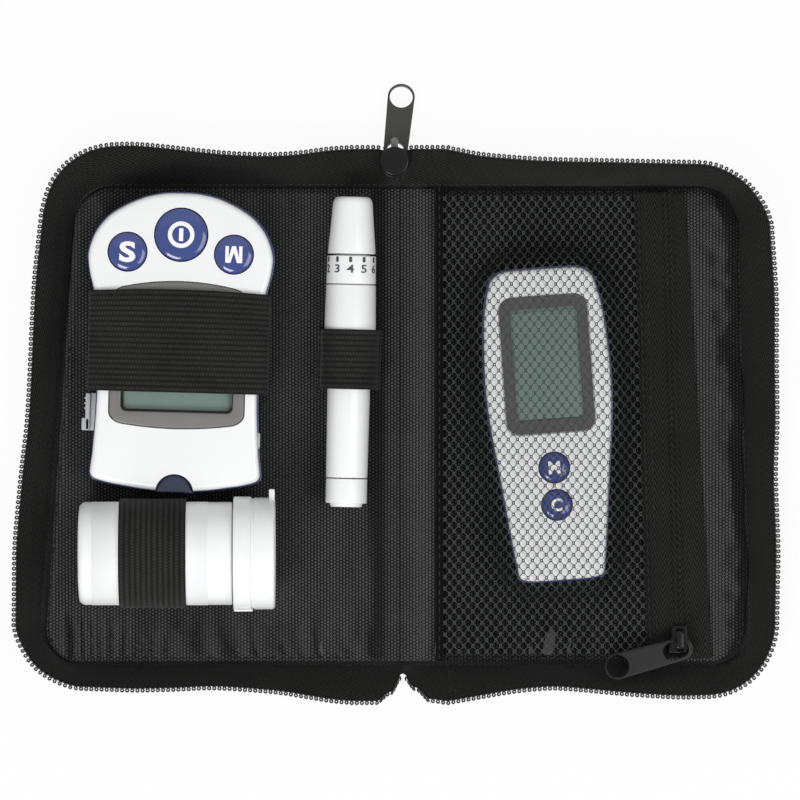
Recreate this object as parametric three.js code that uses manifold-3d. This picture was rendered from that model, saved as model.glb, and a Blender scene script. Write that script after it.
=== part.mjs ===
// Zip-round organiser case for a blood glucose kit, lying open like a book, with what it holds.
// Millimetres. The origin is the centre of the spine's underside, +Z is up and +Y is the head end,
// where the main slider stops. -X is the half with the straps, +X is the half with the net pocket.

import * as THREE from 'three';
import { mergeVertices } from 'three/addons/utils/BufferGeometryUtils.js';
import Module from 'manifold-3d';

const wasm = await Module();
wasm.setup();

// Fits between pieces
const REST_GAP = 0.3; // between a piece and what it rests on or fits into
const LAYER_GAP = 0.2; // between the sewn layers of a panel
const OVERRUN = 2; // how far a cutting shape runs past a face

// Panels of the case
const CLOTH = 0.8;
const BOARD = 1.6;
const LINING = 0.6;
const TAPE = 1;
const SPINE_WIDTH = 12.4;
const FOLD_RELIEF = 2; // bare strip beside each fold line
const WALL_FOLD = Math.PI / 3; // fold up to which a wall clears the middle of the spine
const WALL_AIR = 0.5;
const SEAM_RADIUS = 11;
const HEM = 1.6; // outer fabric beyond the seam
const LINING_INSET = 0.6;
const BOARD_INSET = 2.5;
const LEFT_SPLAY = 9.7; // how much wider a half is at its foot than at its head
const RIGHT_SPLAY = 3.8;
const HEAD_MARGIN = 2.4;
const FOOT_MARGIN = 15.9;
const SIDE_MARGIN = 8.7;

// Zip round the case
const RIM_HEIGHT = 11;
const RIM_FLARE = 10; // how far the rim stands outside the seam beside the spine
// How far it stands out along each half: 0-1 head, 1-2 corner, 2-3 side, 3-4 corner, 4-5 foot
const LEFT_FLARES = [
  [0, 10], [0.1, 9.6], [0.2, 8.5], [0.3, 7.9], [0.4, 7.9], [0.5, 8.2], [0.6, 8.8], [0.7, 9.6],
  [0.8, 10.4], [0.92, 11.1], [1, 10.8], [1.27, 10.2], [1.57, 9.3], [1.8, 8.4], [2, 8.5],
  [2.13, 9], [2.25, 8.6], [2.4, 7.9], [2.5, 7.6], [2.62, 8.2], [2.8, 8.4], [3, 6.6], [3.26, 5.4],
  [3.75, 5], [4, 5.8], [4.2, 6.4], [4.37, 6.1], [4.46, 5.6], [4.55, 5.8], [4.73, 6.9],
  [4.83, 8.2], [4.92, 9.5], [5, 10],
];
const RIGHT_FLARES = [
  [0, 10], [0.05, 9.1], [0.13, 7.9], [0.23, 7.3], [0.33, 6.7], [0.45, 6.4], [0.73, 6], [1, 5.6],
  [1.35, 5.6], [1.68, 6.8], [1.8, 7.6], [2, 9.1], [2.19, 9.9], [2.31, 9.3], [2.5, 8.9], [2.62, 7.8],
  [2.81, 8], [3, 6.8], [3.24, 6.6], [3.52, 7.1], [4, 8.2], [4.12, 8.5], [4.31, 7.6], [4.5, 6.2],
  [4.6, 5.6], [4.7, 6.2], [4.78, 7], [4.88, 8.4], [5, 10],
];
const COIL_HALF_WIDTH = 1.5;
const COIL_HALF_HEIGHT = 1;
const PLATE = 1; // thickness of a slider's plates
const PLATE_RADIUS = 4.25;
const SLIDER_LENGTH = 8.8;
const SLIDER_SHIFT = 1.6; // the main slider stands this far to the left
const SLIDER_TAIL = 2.3; // from the head seam to the main slider's tail
const POST_WIDTH = 2;
const SHOULDER_GAP = 0.5;
const SHOULDER_SHARE = 0.96; // half widths of a slider's shoulders, as shares of its plate's radius
const NOSE_SHARE = 0.6;
const BRIDGE_WIDTH = 2.2;
const BRIDGE_LEG = 1.2;
const BRIDGE_BAR = 1.2;
const BRIDGE_RISE = 3.6; // clear height under a bridge
const TONGUE_WIDTH = 4;

// Zip pulls
const PULL_LENGTH = 27.4;
const PULL_WIDTH = 8;
const PULL_WAIST = 6.2;
const PULL_THICKNESS = 1.4;
const PULL_SLOT_WIDTH = 5.3;
const PULL_SLOT_LENGTH = 8;
const PULL_HOLE = 6.6;
const PULL_RECESS = 0.35;
const PULL_RIM = 1.2; // plain border round the recess of the blade
const PULL_LEAN = THREE.MathUtils.degToRad(6);
const TABLE_GAP = 0.15;

// Meter A, lying foot end down in the left half
const METER_A_WIDTH = 54;
const METER_A_LENGTH = 87.3;
const METER_A_THICKNESS = 18;
const METER_A_LEAN = THREE.MathUtils.degToRad(-1.6);
const METER_A_HALF_WIDTH_SHARES = [
  [1, 0.16], [0.977, 0.36], [0.945, 0.5], [0.9, 0.645], [0.84, 0.785], [0.76, 0.895],
  [0.68, 0.96], [0.58, 1], [0.46, 0.98], [0.35, 0.935], [0, 0.88], [-0.4, 0.868], [-0.75, 0.9], [-0.88, 0.922],
  [-0.913, 0.9], [-0.932, 0.84], [-0.952, 0.71], [-0.966, 0.57], [-0.984, 0.38], [-1, 0.08],
];
const SHELL_WALL = 1.6;
const FRONT_THICKNESS = 3.2;
const EDGE_ROUND = 2.6; // rounded top edge of a meter's front shell
const EDGE_BULGE = 0.3; // how far in the middle of that edge stands, as a share
const SPLIT_SHARE = 0.5; // height of the joint between the shells, as a share of the thickness
const BACK_PROUD = 0.6; // the back shell shows this far round the front shell
const SCREEN_WIDTH = 39.6;
const SCREEN_LENGTH = 43;
const SCREEN_SHIFT = -3.7; // from the meter's middle towards its foot
const SCREEN_CORNER = 4;
const BEZEL_WIDTH = 3.4;
const BEZEL_FOOT = 5.6;
const BEZEL_THICKNESS = 1.1;
const WINDOW_THICKNESS = 1;
const PCB = 1.6;
const DISPLAY_THICKNESS = 2.4;
const POWER_RADIUS = 7.7;
const POWER_ALONG = 31.6;
const SIDE_BUTTON_RADIUS = 5.6;
const SIDE_BUTTON_ALONG = 26.2;
const SIDE_BUTTON_ACROSS = 15.6;
const BUTTON_FLANGE = 1;
const BUTTON_FLANGE_HEIGHT = 1.2;
const BUTTON_DOME = 1.2;
const BUTTON_DOME_SHARES = [[1, 0], [0.8, 0.6], [0.4, 0.92], [0, 1]]; // radius and height
const PAD_THICKNESS = 1.4;
const PORT_WIDTH = 10.7;
const PORT_DEPTH = 4.6;
const PORT_SLOT_WIDTH = 6.4;
const PORT_SLOT_HEIGHT = 1.2;
const PORT_SLOT_RISE = 2; // from the shells' joint up to the slot
const EJECT_SIDE_SHARE = 0.88; // the side's place there, as a share of half the width
const EJECT_LENGTH = 11;
const EJECT_TRAVEL = 6;
const EJECT_ALONG = -21; // middle of the eject slide, from the meter's middle
const EJECT_HEIGHT = 3.6;
const EJECT_PROUD = 1.4;
const EJECT_NUB = 1;
const EJECT_TONGUE = 2.2;
const EJECT_TONGUE_HEIGHT = 1.8;
const DOOR_SIZE = 24;
const DOOR_THICKNESS = 1.2;
const DOOR_ALONG = -8;
const CELL_RADIUS = 10;
const CELL_THICKNESS = 3.2;
const SCREW_RADIUS = 1;
const SCREW_HEAD = 2;
const SCREW_HEAD_HEIGHT = 1.4;
const SCREW_LENGTH = 7;
const POST_RADIUS = 3.2;
const POST_ACROSS = 17.5;
const POST_ALONG = -34;

// Meter B, in the net pocket
const METER_B_WIDTH = 38;
const METER_B_LENGTH = 92.6;
const METER_B_THICKNESS = 13;
const METER_B_LEAN = THREE.MathUtils.degToRad(4.1);
const METER_B_SHIFT = 0.2;
const METER_B_HALF_WIDTH_SHARES = [
  [1, 0.5], [0.985, 0.68], [0.93, 0.82], [0.75, 0.93], [0.5, 0.985], [0.25, 1], [0, 0.965],
  [-0.25, 0.89], [-0.5, 0.82], [-0.75, 0.75], [-0.93, 0.69], [-0.965, 0.675], [-0.987, 0.62], [-1, 0.45],
];
const FRONT_B_THICKNESS = 2.6;
const SCREEN_B_WIDTH = 26.4;
const SCREEN_B_LENGTH = 40.8;
const SCREEN_B_SHIFT = 17.8;
const BUTTON_B_RADIUS = 4.4;
const BUTTON_B_ALONG = -12.7;
const BUTTON_B_PITCH = 11;

// Straps
const STRAP = 0.9;
const STRAP_FOOT = 1.2;
const METER_STRAP_WIDTH = 30;
const METER_STRAP_SHARE = 0.93; // where the strap goes down, as a share of half the meter's width
const METER_STRAP_ALONG = 0.4; // the strap's middle, from the meter's middle
const VIAL_STRAP_WIDTH = 19.5;
const VIAL_STRAP_SHIFT = 12; // from the vial's closed end to the strap
const PEN_LOOP_WIDTH = 17.4;
const PEN_LOOP_LAP = 3.8; // how far the loop reaches over the collar

// Lancing pen
const PEN_LENGTH = 91.2;
const PEN_LEAN = THREE.MathUtils.degToRad(-1.3);
const PEN_ALONG = 21.5; // middle of the pen, from the case's middle
const PEN_COLLAR = 7.6;
const PEN_BODY = 6.4;
const PEN_TAIL = 6.1;
const PEN_DIAL = 7.3;
const PEN_CAP = 5.8;
const PEN_CAP_FOOT = 7.05; // the cap widens towards the dial
const PEN_BORE = 5;
const PEN_NECK = 5.5;
const PEN_ROD_BORE = 2.2;
const PEN_CAP_LENGTH = 17.1;
const DIAL_LENGTH = 8.2;
const COLLAR_LENGTH = 17;
const COLLAR_TAPER = 2;
const SLEEVE_LENGTH = 8.3;
const SLEEVE_END_SHARE = 0.8;
const NECK_INTO_CAP = 5;
const CAP_MOUTH = 1.4;
const CAP_WALL = 1.1;
const RELEASE_RADIUS = 2.6;
const RELEASE_PROUD = 0.7;
const RELEASE_DEPTH = 1.5;
const RELEASE_ALONG = -18;
const SPRING_RADIUS = 3.9;
const SPRING_WIRE = 0.45;
const SPRING_CURLS = 8;
const SPRING_LENGTH = 28;
const ROD_RADIUS = 1.6;
const CARRIER_LENGTH = 18;
const LANCET_RADIUS = 2;
const LANCET_LENGTH = 12;
const NEEDLE_RADIUS = 0.4;
const NEEDLE_LENGTH = 4;
const PEN_FOLD_GAP = 1.05;
const METER_PEN_GAP = 15.55;

// Vial of test strips
const VIAL_RADIUS = 15.1;
const VIAL_WALL = 1.4;
const VIAL_CAP_RADIUS = 16.7;
const VIAL_CAP_LENGTH = 12.5;
const VIAL_CAP_WALL = 1.6;
const VIAL_PLUG = 3;
const VIAL_PLUG_GAP = 0.5;
const VIAL_OUTSET = 2.2; // the vial starts this far outside the meter's side
const VIAL_BODY_LENGTH = 45.1;
const VIAL_GAP = 1.5;
const THUMB_TAB = 2;
const THUMB_WIDTH = 9;
const STRIP_WIDTH = 6;
const STRIP_LENGTH = 35;
const STRIP_STACK = 5;

// Net pocket
const NET = 0.6;
const NET_FOLD_MARGIN = 4.8;
const NET_END_MARGIN = 1.6;
const NET_BORDER = 2.2;
const CELL_PITCH = 6.4;
const CELL_STRUT = 1.3;
const HEXAGON = 6;
const NET_SLOPE = 6;
const NET_OVERLAP = 2;
const METER_B_INSET = 14.4;
const POCKET_ZIP_MARGIN = 20; // from the outer seam to the pocket's zip
const POCKET_TAPE = 0.7;
const POCKET_TAPE_WIDTH = 8;
const POCKET_OUTER_HEAD = 5;
const POCKET_OUTER_FOOT = 9.4;
const POCKET_COIL = 3;
const POCKET_COIL_HEIGHT = 1.4;
const POCKET_SLIDER_FOOT = 4.2; // from the foot seam to the bridge's lower leg
const POCKET_SLIDER_HEAD_WIDTH = 5;
const POCKET_SLIDER_FOOT_WIDTH = 7;
const POCKET_PULL_LIFT = THREE.MathUtils.degToRad(8.5);
const POCKET_PULL_ANGLE = THREE.MathUtils.degToRad(195);

// Detail of the curves
const EDGE_STEPS = 10;
const CORNER_STEPS = 8;
const ROUND = 20;
const CURL_STEPS = 8;
const WIRE_SIDES = 6;

// Worked out from the sizes above
const stack = CLOTH + LAYER_GAP + BOARD + LAYER_GAP + LINING;
const floorZ = stack + REST_GAP;
const panelLength = HEAD_MARGIN + METER_A_LENGTH + VIAL_GAP + 2 * VIAL_CAP_RADIUS + FOOT_MARGIN;
const headY = panelLength / 2;
const penU = PEN_FOLD_GAP + PEN_COLLAR;
const meterU = penU + PEN_COLLAR + METER_PEN_GAP + METER_A_WIDTH / 2;
const panelWidth = meterU + METER_A_WIDTH / 2 + SIDE_MARGIN;
const meterY = headY - HEAD_MARGIN - METER_A_LENGTH / 2;
const vialY = meterY - METER_A_LENGTH / 2 - VIAL_GAP - VIAL_CAP_RADIUS;
const coilTop = RIM_HEIGHT + COIL_HALF_HEIGHT;
const wallSwing = (coilTop - CLOTH) * Math.sin(WALL_FOLD);
const wallStart = (wallSwing - SPINE_WIDTH / 2 + WALL_AIR) / Math.cos(WALL_FOLD);
const wallFoot = REST_GAP;
const wallBase = CLOTH + LAYER_GAP;

const LEFT = -1;
const RIGHT = 1;
const splay = { [LEFT]: LEFT_SPLAY, [RIGHT]: RIGHT_SPLAY };

// Materials
const finish = (color, roughness, metalness = 0) =>
  new THREE.MeshStandardMaterial({ color, roughness, metalness });
const shellCloth = finish(0x1d1e1f, 0.85);
const liningCloth = finish(0x2a2b2c, 0.8);
const tapeCloth = finish(0x222423, 0.8);
const foam = finish(0x3a3a3a, 0.9);
const elastic = finish(0x161617, 0.9);
const netCord = finish(0x141414, 0.7);
const zipNylon = finish(0x101010, 0.45);
const blackLacquer = finish(0x0c0c0d, 0.2, 0.3);
const whitePlastic = finish(0xf2f3f5, 0.35);
const navyPlastic = finish(0x23307e, 0.2);
const greyPlastic = finish(0x8c8886, 0.45);
const paleGrey = finish(0xc9ccd0, 0.5);
const clearPlastic = finish(0xb8c4c0, 0.1);
const displayGlass = finish(0x82968e, 0.25);
const boardGreen = finish(0x1f5a35, 0.6);
const padRubber = finish(0x6a6c70, 0.9);
const steel = finish(0xb8babd, 0.3, 1);

const part = new THREE.Group();

// A named sub-part, from a geometry or a solid, hung in a group
function add(name, shape, material, group = part) {
  const geometry = shape.isBufferGeometry ? shape : fromSolid(shape);
  const mesh = new THREE.Mesh(geometry, material);
  mesh.name = name;
  group.add(mesh);
  return mesh;
}

// Solids for joining and cutting
function toSolid(shape) {
  if (!shape.isBufferGeometry) return shape;
  const bare = shape.clone();
  bare.deleteAttribute('normal');
  bare.deleteAttribute('uv');
  const merged = mergeVertices(bare, 1e-4);
  const vertProperties = new Float32Array(merged.attributes.position.array);
  const triVerts = new Uint32Array(merged.index.array);
  return new wasm.Manifold(new wasm.Mesh({ numProp: 3, vertProperties, triVerts }));
}

function fromSolid(solid) {
  const { vertProperties, triVerts } = solid.getMesh();
  const geometry = new THREE.BufferGeometry();
  geometry.setAttribute('position', new THREE.BufferAttribute(new Float32Array(vertProperties), 3));
  geometry.setIndex(new THREE.BufferAttribute(new Uint32Array(triVerts), 1));
  return geometry;
}

const join = (first, ...others) => others.reduce((sum, other) => sum.add(toSolid(other)), toSolid(first));
const cut = (first, ...others) => others.reduce((rest, other) => rest.subtract(toSolid(other)), toSolid(first));

// A closed geometry from points and triangles, turned so that its faces point out
function closed(points, triangles) {
  let volume = 0;
  const [a, b, c] = [new THREE.Vector3(), new THREE.Vector3(), new THREE.Vector3()];
  for (const [i, j, k] of triangles) {
    a.copy(points[i]);
    b.copy(points[j]);
    c.copy(points[k]);
    volume += a.dot(b.cross(c));
  }
  const faces = volume < 0 ? triangles.map(([i, j, k]) => [i, k, j]) : triangles;
  const geometry = new THREE.BufferGeometry().setFromPoints(points);
  geometry.setIndex(faces.flat());
  return geometry;
}

// The skin between rings of points, without its ends
function skin(rings) {
  const count = rings[0].length;
  const triangles = [];
  for (let r = 0; r + 1 < rings.length; r++) {
    for (let i = 0; i < count; i++) {
      const [p, q] = [r * count + i, r * count + ((i + 1) % count)];
      triangles.push([p, q, q + count], [p, q + count, p + count]);
    }
  }
  return triangles;
}

// A band swept through rings, its ends closed by strips across each ring
function band(rings) {
  const count = rings[0].length;
  const triangles = skin(rings);
  const last = (rings.length - 1) * count;
  for (let i = 0; i + 1 < count / 2; i++) {
    const [p, q, r, s] = [i, i + 1, count - 2 - i, count - 1 - i];
    if (q === r) continue;
    triangles.push([p, r, q], [p, s, r]);
    triangles.push([last + p, last + q, last + r], [last + p, last + r, last + s]);
  }
  return closed(rings.flat(), triangles);
}

// A body built up from flat outlines at rising heights, each with the same number of points
function layers(outlines, heights) {
  const count = outlines[0].length;
  const triangles = skin(outlines);
  const last = (outlines.length - 1) * count;
  for (const [i, j, k] of THREE.ShapeUtils.triangulateShape(outlines[0], [])) triangles.push([i, k, j]);
  for (const [i, j, k] of THREE.ShapeUtils.triangulateShape(outlines.at(-1), [])) {
    triangles.push([last + i, last + j, last + k]);
  }
  const points = outlines.flatMap((outline, n) => outline.map((p) => new THREE.Vector3(p.x, p.y, heights[n])));
  return closed(points, triangles);
}

const slab = (outline, bottom, top) => layers([outline, outline], [bottom, top]);

function block(width, length, bottom, top, x = 0, y = 0) {
  const box = new THREE.BoxGeometry(width, length, top - bottom);
  return box.translate(x, y, (bottom + top) / 2);
}

function disc(radius, bottom, top, x = 0, y = 0) {
  const cylinder = new THREE.CylinderGeometry(radius, radius, top - bottom, ROUND);
  return cylinder.rotateX(Math.PI / 2).translate(x, y, (bottom + top) / 2);
}

// A turned body about +Z, from pairs of radius and height listed round its section
function turned(profile) {
  const points = profile.map(([radius, z]) => new THREE.Vector2(radius, z));
  return new THREE.LatheGeometry([...points, points[0].clone()], ROUND).rotateX(Math.PI / 2);
}

function arcPoints(x, y, radius, from, to, steps = CORNER_STEPS) {
  return Array.from({ length: steps + 1 }, (_, i) => {
    const angle = from + ((to - from) * i) / steps;
    return new THREE.Vector2(x + radius * Math.cos(angle), y + radius * Math.sin(angle));
  });
}

function roundedBox(width, length, radius, x = 0, y = 0) {
  const [w, l] = [width / 2 - radius, length / 2 - radius];
  return [
    ...arcPoints(x + w, y - l, radius, -Math.PI / 2, 0),
    ...arcPoints(x + w, y + l, radius, 0, Math.PI / 2),
    ...arcPoints(x - w, y + l, radius, Math.PI / 2, Math.PI),
    ...arcPoints(x - w, y - l, radius, Math.PI, (3 * Math.PI) / 2),
  ];
}

// The case's halves. u is measured from a half's fold line towards its outer side.
const seamWidth = (side, y) => panelWidth - (splay[side] * y) / panelLength;
const toX = (side, u) => side * (SPINE_WIDTH / 2 + u);

// A half's outline, grown past its seam, from the line u = start
function panelOutline(side, grow, start) {
  const y = headY + grow;
  const radius = SEAM_RADIUS + grow;
  const head = seamWidth(side, headY) + grow - radius;
  const foot = seamWidth(side, -headY) + grow - radius;
  const outline = [
    new THREE.Vector2(start, -y),
    ...arcPoints(foot, radius - y, radius, -Math.PI / 2, 0),
    ...arcPoints(head, y - radius, radius, 0, Math.PI / 2),
    new THREE.Vector2(start, y),
  ];
  const points = outline.map((p) => new THREE.Vector2(toX(side, p.x), p.y));
  return side === LEFT ? points.reverse() : points;
}

// Places along a half's seam from the head end round to the foot end, with the way out of each
function seamPlaces(side) {
  const places = [];
  const flares = side === LEFT ? LEFT_FLARES : RIGHT_FLARES;
  const flareAt = (place) => {
    const next = Math.max(flares.findIndex(([there]) => there >= place), 1);
    const [[from, low], [to, high]] = [flares[next - 1], flares[next]];
    return low + ((high - low) * (place - from)) / (to - from);
  };
  const head = seamWidth(side, headY);
  const foot = seamWidth(side, -headY);
  const run = (start, from, to, out) => {
    for (let i = 0; i < EDGE_STEPS; i++) {
      const share = i / EDGE_STEPS;
      const u = from[0] + (to[0] - from[0]) * share;
      const y = from[1] + (to[1] - from[1]) * share;
      places.push({ u, y, out, reach: flareAt(start + share) });
    }
  };
  const corner = (start, u, y, from, to) => {
    for (let i = 0; i < CORNER_STEPS; i++) {
      const share = i / CORNER_STEPS;
      const angle = from + (to - from) * share;
      const out = [Math.cos(angle), Math.sin(angle)];
      const [cornerU, cornerY] = [u + SEAM_RADIUS * out[0], y + SEAM_RADIUS * out[1]];
      places.push({ u: cornerU, y: cornerY, out, reach: flareAt(start + share) });
    }
  };
  run(0, [wallStart, headY], [head - SEAM_RADIUS, headY], [0, 1]);
  corner(1, head - SEAM_RADIUS, headY - SEAM_RADIUS, Math.PI / 2, 0);
  run(2, [head, headY - SEAM_RADIUS], [foot, SEAM_RADIUS - headY], [1, 0]);
  corner(3, foot - SEAM_RADIUS, SEAM_RADIUS - headY, 0, -Math.PI / 2);
  run(4, [foot - SEAM_RADIUS, -headY], [wallStart, -headY], [0, -1]);
  places.push({ u: wallStart, y: -headY, out: [0, -1], reach: RIM_FLARE });
  return places;
}

// The leaning tape's section, as pairs of distance out from the seam and height
const WALL_SECTION_SHARES = [0, 0.3, 0.65, 1];
function tapeSection(tip, rise) {
  const inner = [];
  const outer = [];
  for (const share of WALL_SECTION_SHARES) {
    const angle = (share * Math.PI) / 2;
    const out = wallFoot + (tip - wallFoot) * share;
    const z = wallBase + (rise * (share + Math.sin(angle))) / 2;
    const climb = (rise * (1 + (Math.cos(angle) * Math.PI) / 2)) / 2;
    const slope = new THREE.Vector2(tip - wallFoot, climb).normalize();
    inner.push([out, z]);
    outer.push([out + TAPE * slope.y, Math.max(wallBase, z - TAPE * slope.x)]);
  }
  return [...inner, ...outer.reverse()];
}

function coilSection(reach, z) {
  const [w, h] = [COIL_HALF_WIDTH, COIL_HALF_HEIGHT];
  return [
    [reach - w, z], [reach - w / 2, z + h], [reach + w / 2, z + h],
    [reach + w, z], [reach + w / 2, z - h], [reach - w / 2, z - h],
  ];
}

// A steeper wall stays further from its coil
const tapeTip = (reach) => reach - COIL_HALF_WIDTH - (REST_GAP * RIM_FLARE) / reach;
const tapeRise = RIM_HEIGHT - wallBase;

const placeSection = (x, y, out, section) =>
  section.map(([d, z]) => new THREE.Vector3(x + d * out[0], y + d * out[1], z));

function zipTape(side) {
  return band(seamPlaces(side).map(({ u, y, out, reach }) =>
    placeSection(toX(side, u), y, [side * out[0], out[1]], tapeSection(tapeTip(reach), tapeRise))));
}

function zipCoil(side) {
  return band(seamPlaces(side).map(({ u, y, out, reach }) =>
    placeSection(toX(side, u), y, [side * out[0], out[1]], coilSection(reach, RIM_HEIGHT))));
}

function half(side, name) {
  const boardZ = CLOTH + LAYER_GAP;
  const liningZ = boardZ + BOARD + LAYER_GAP;
  const cloth = panelOutline(side, HEM, REST_GAP / 2);
  const board = panelOutline(side, -BOARD_INSET, FOLD_RELIEF);
  const lining = panelOutline(side, -LINING_INSET, FOLD_RELIEF);
  add(`${name}_outer_fabric`, slab(cloth, 0, CLOTH), shellCloth);
  add(`${name}_foam_board`, slab(board, boardZ, boardZ + BOARD), foam);
  add(`${name}_lining`, slab(lining, liningZ, liningZ + LINING), liningCloth);
  add(`${name}_zip_tape`, zipTape(side), tapeCloth);
  add(`${name}_zip_coil`, zipCoil(side), zipNylon);
}

// The spine and the gussets that cross the folds at its ends.
// Each row: place across the spine, reach and height, as shares of the full ones.
const HEAD_GUSSET_SHARES = [
  [-1, 1, 1], [-0.75, 1, 1], [-0.5, 1, 1], [-0.46, 0.12, 0.2], [-0.1, 0.12, 0.2], [0.25, 0.12, 0.2],
  [0.29, 1, 1], [0.6, 1, 1], [1, 1, 1],
];
const FOOT_GUSSET_SHARES = [
  [-1, 1, 1], [-0.5, 1, 1], [-0.2, 0.72, 0.8], [0.06, 0.25, 0.35], [0.33, 0.62, 0.7],
  [0.66, 0.95, 1], [1, 1, 1],
];

function gusset(end, shares) {
  const reachX = SPINE_WIDTH / 2 + wallStart - REST_GAP;
  const fullTip = tapeTip(RIM_FLARE);
  const tapeRings = [];
  const coilRuns = [[]];
  for (const [across, out, up] of shares) {
    const x = across * reachX;
    const lap = COIL_HALF_WIDTH / 2 + REST_GAP;
    const tip = wallFoot + (fullTip + lap - wallFoot) * out;
    tapeRings.push(placeSection(x, end * headY, [0, end], tapeSection(tip, tapeRise * up)));
    const z = wallBase + tapeRise * up;
    const ring = placeSection(x, end * headY, [0, end], coilSection(RIM_FLARE * out, z));
    if (out * RIM_FLARE > 2 * COIL_HALF_WIDTH) coilRuns.at(-1).push(ring);
    else if (coilRuns.at(-1).length) coilRuns.push([]);
  }
  const runs = coilRuns.filter((run) => run.length > 1).map((run) => band(run));
  return join(band(tapeRings), ...runs);
}

function spineTongue() {
  const top = RIM_HEIGHT + COIL_HALF_HEIGHT - REST_GAP / 2;
  const bottom = RIM_HEIGHT - COIL_HALF_HEIGHT + REST_GAP / 2;
  const y = headY + wallFoot;
  const reach = SLIDER_TAIL + SLIDER_LENGTH / 2;
  const leg = SLIDER_TAIL - wallFoot - REST_GAP - TAPE / 2;
  const upright = block(TONGUE_WIDTH, leg, wallBase, top, -SLIDER_SHIFT, y + leg / 2);
  const chain = block(TONGUE_WIDTH, reach, bottom, top, -SLIDER_SHIFT, y + reach / 2);
  return join(upright, chain);
}

function spine() {
  const width = SPINE_WIDTH - REST_GAP;
  add('spine_outer_fabric', block(width, 2 * (headY + HEM), 0, CLOTH), shellCloth);
  const liningZ = CLOTH + LAYER_GAP;
  const liningWidth = SPINE_WIDTH - 2 * FOLD_RELIEF;
  const lining = block(liningWidth, 2 * (headY - LINING_INSET), liningZ, liningZ + LINING);
  add('spine_lining', lining, liningCloth);
  add('spine_head_gusset', join(gusset(1, HEAD_GUSSET_SHARES), spineTongue()), tapeCloth);
  add('spine_foot_gusset', gusset(-1, FOOT_GUSSET_SHARES), tapeCloth);
}

// Zip sliders and pulls. A pull's own origin is at the bridge's leg that it turns about.
function pull() {
  const nearRadius = PULL_WIDTH / 2;
  const farY = PULL_LENGTH - 2 * nearRadius;
  const waistY = PULL_SLOT_LENGTH - PULL_SLOT_WIDTH / 2 + PULL_RIM;
  const outline = [
    ...arcPoints(0, 0, nearRadius, Math.PI, 2 * Math.PI, ROUND / 2),
    new THREE.Vector2(PULL_WAIST / 2, waistY + PULL_RIM),
    ...arcPoints(0, farY, nearRadius, 0, Math.PI, ROUND / 2),
    new THREE.Vector2(-PULL_WAIST / 2, waistY + PULL_RIM),
  ];
  const slotRadius = PULL_SLOT_WIDTH / 2;
  const slotY = PULL_SLOT_LENGTH - PULL_SLOT_WIDTH;
  const slot = [
    ...arcPoints(0, 0, slotRadius, Math.PI, 2 * Math.PI, ROUND / 2),
    ...arcPoints(0, slotY, slotRadius, 0, Math.PI, ROUND / 2),
  ];
  const [low, high] = [-PULL_THICKNESS / 2, PULL_THICKNESS / 2];
  const ringStart = farY - nearRadius;
  const bladeLength = ringStart - waistY - PULL_RIM;
  const bladeY = (ringStart + waistY + PULL_RIM) / 2;
  const recess = roundedBox(PULL_WAIST - 2 * PULL_RIM, bladeLength, PULL_RIM, 0, bladeY);
  return cut(
    slab(outline, low, high),
    slab(slot, low - OVERRUN, high + OVERRUN),
    disc(PULL_HOLE / 2, low - OVERRUN, high + OVERRUN, 0, farY),
    slab(recess, high - PULL_RECESS, high + OVERRUN),
    slab(recess, low - OVERRUN, low + PULL_RECESS),
  );
}

// A bridge over its opening, with its first leg at the origin and its bar along -Y or +Y
function bridge(root, rise, way) {
  const clear = PULL_WIDTH / 2 + REST_GAP;
  const far = BRIDGE_LEG / 2 + clear + BRIDGE_LEG / 2;
  const [low, high] = rise > 0 ? [root, root + rise + BRIDGE_BAR] : [root + rise - BRIDGE_BAR, root];
  const [barLow, barHigh] = rise > 0 ? [high - BRIDGE_BAR, high] : [low, low + BRIDGE_BAR];
  return join(
    block(BRIDGE_WIDTH, BRIDGE_LEG, low, high),
    block(BRIDGE_WIDTH, BRIDGE_LEG, low, high, 0, way * far),
    block(BRIDGE_WIDTH, far + BRIDGE_LEG, barLow, barHigh, 0, (way * far) / 2),
  );
}

const channel = COIL_HALF_HEIGHT + REST_GAP;

function mainSlider() {
  const tail = headY + SLIDER_TAIL;
  const centre = tail + PLATE_RADIUS;
  const nose = tail + SLIDER_LENGTH;
  const outline = [
    ...arcPoints(0, centre, PLATE_RADIUS, Math.PI, 2 * Math.PI, ROUND / 2),
    new THREE.Vector2(PLATE_RADIUS * SHOULDER_SHARE, nose - SHOULDER_GAP),
    new THREE.Vector2(PLATE_RADIUS * NOSE_SHARE, nose),
    new THREE.Vector2(-PLATE_RADIUS * NOSE_SHARE, nose),
    new THREE.Vector2(-PLATE_RADIUS * SHOULDER_SHARE, nose - SHOULDER_GAP),
  ];
  const [low, high] = [RIM_HEIGHT - channel, RIM_HEIGHT + channel];
  const post = block(POST_WIDTH, POST_WIDTH, low, high, 0, nose - POST_WIDTH / 2);
  const pivotY = tail + BRIDGE_LEG + PULL_WIDTH / 2 + REST_GAP;
  const arch = toSolid(bridge(low - PLATE, -BRIDGE_RISE, -1)).translate([0, pivotY, 0]);
  const body = join(slab(outline, high, high + PLATE), slab(outline, low - PLATE, low), post, arch);
  const slider = add('main_slider', body, blackLacquer);
  slider.position.x = -SLIDER_SHIFT;

  const pivotZ = low - PLATE - BRIDGE_RISE / 2;
  const reach = PULL_LENGTH - PULL_WIDTH / 2;
  const hanger = new THREE.Group();
  hanger.position.set(-SLIDER_SHIFT, pivotY, pivotZ);
  hanger.rotation.order = 'ZXY';
  hanger.rotation.z = -PULL_LEAN;
  hanger.rotation.x = -Math.asin((pivotZ - PULL_THICKNESS / 2 - TABLE_GAP) / reach);
  part.add(hanger);
  add('main_pull', pull(), blackLacquer, hanger);
}

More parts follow.
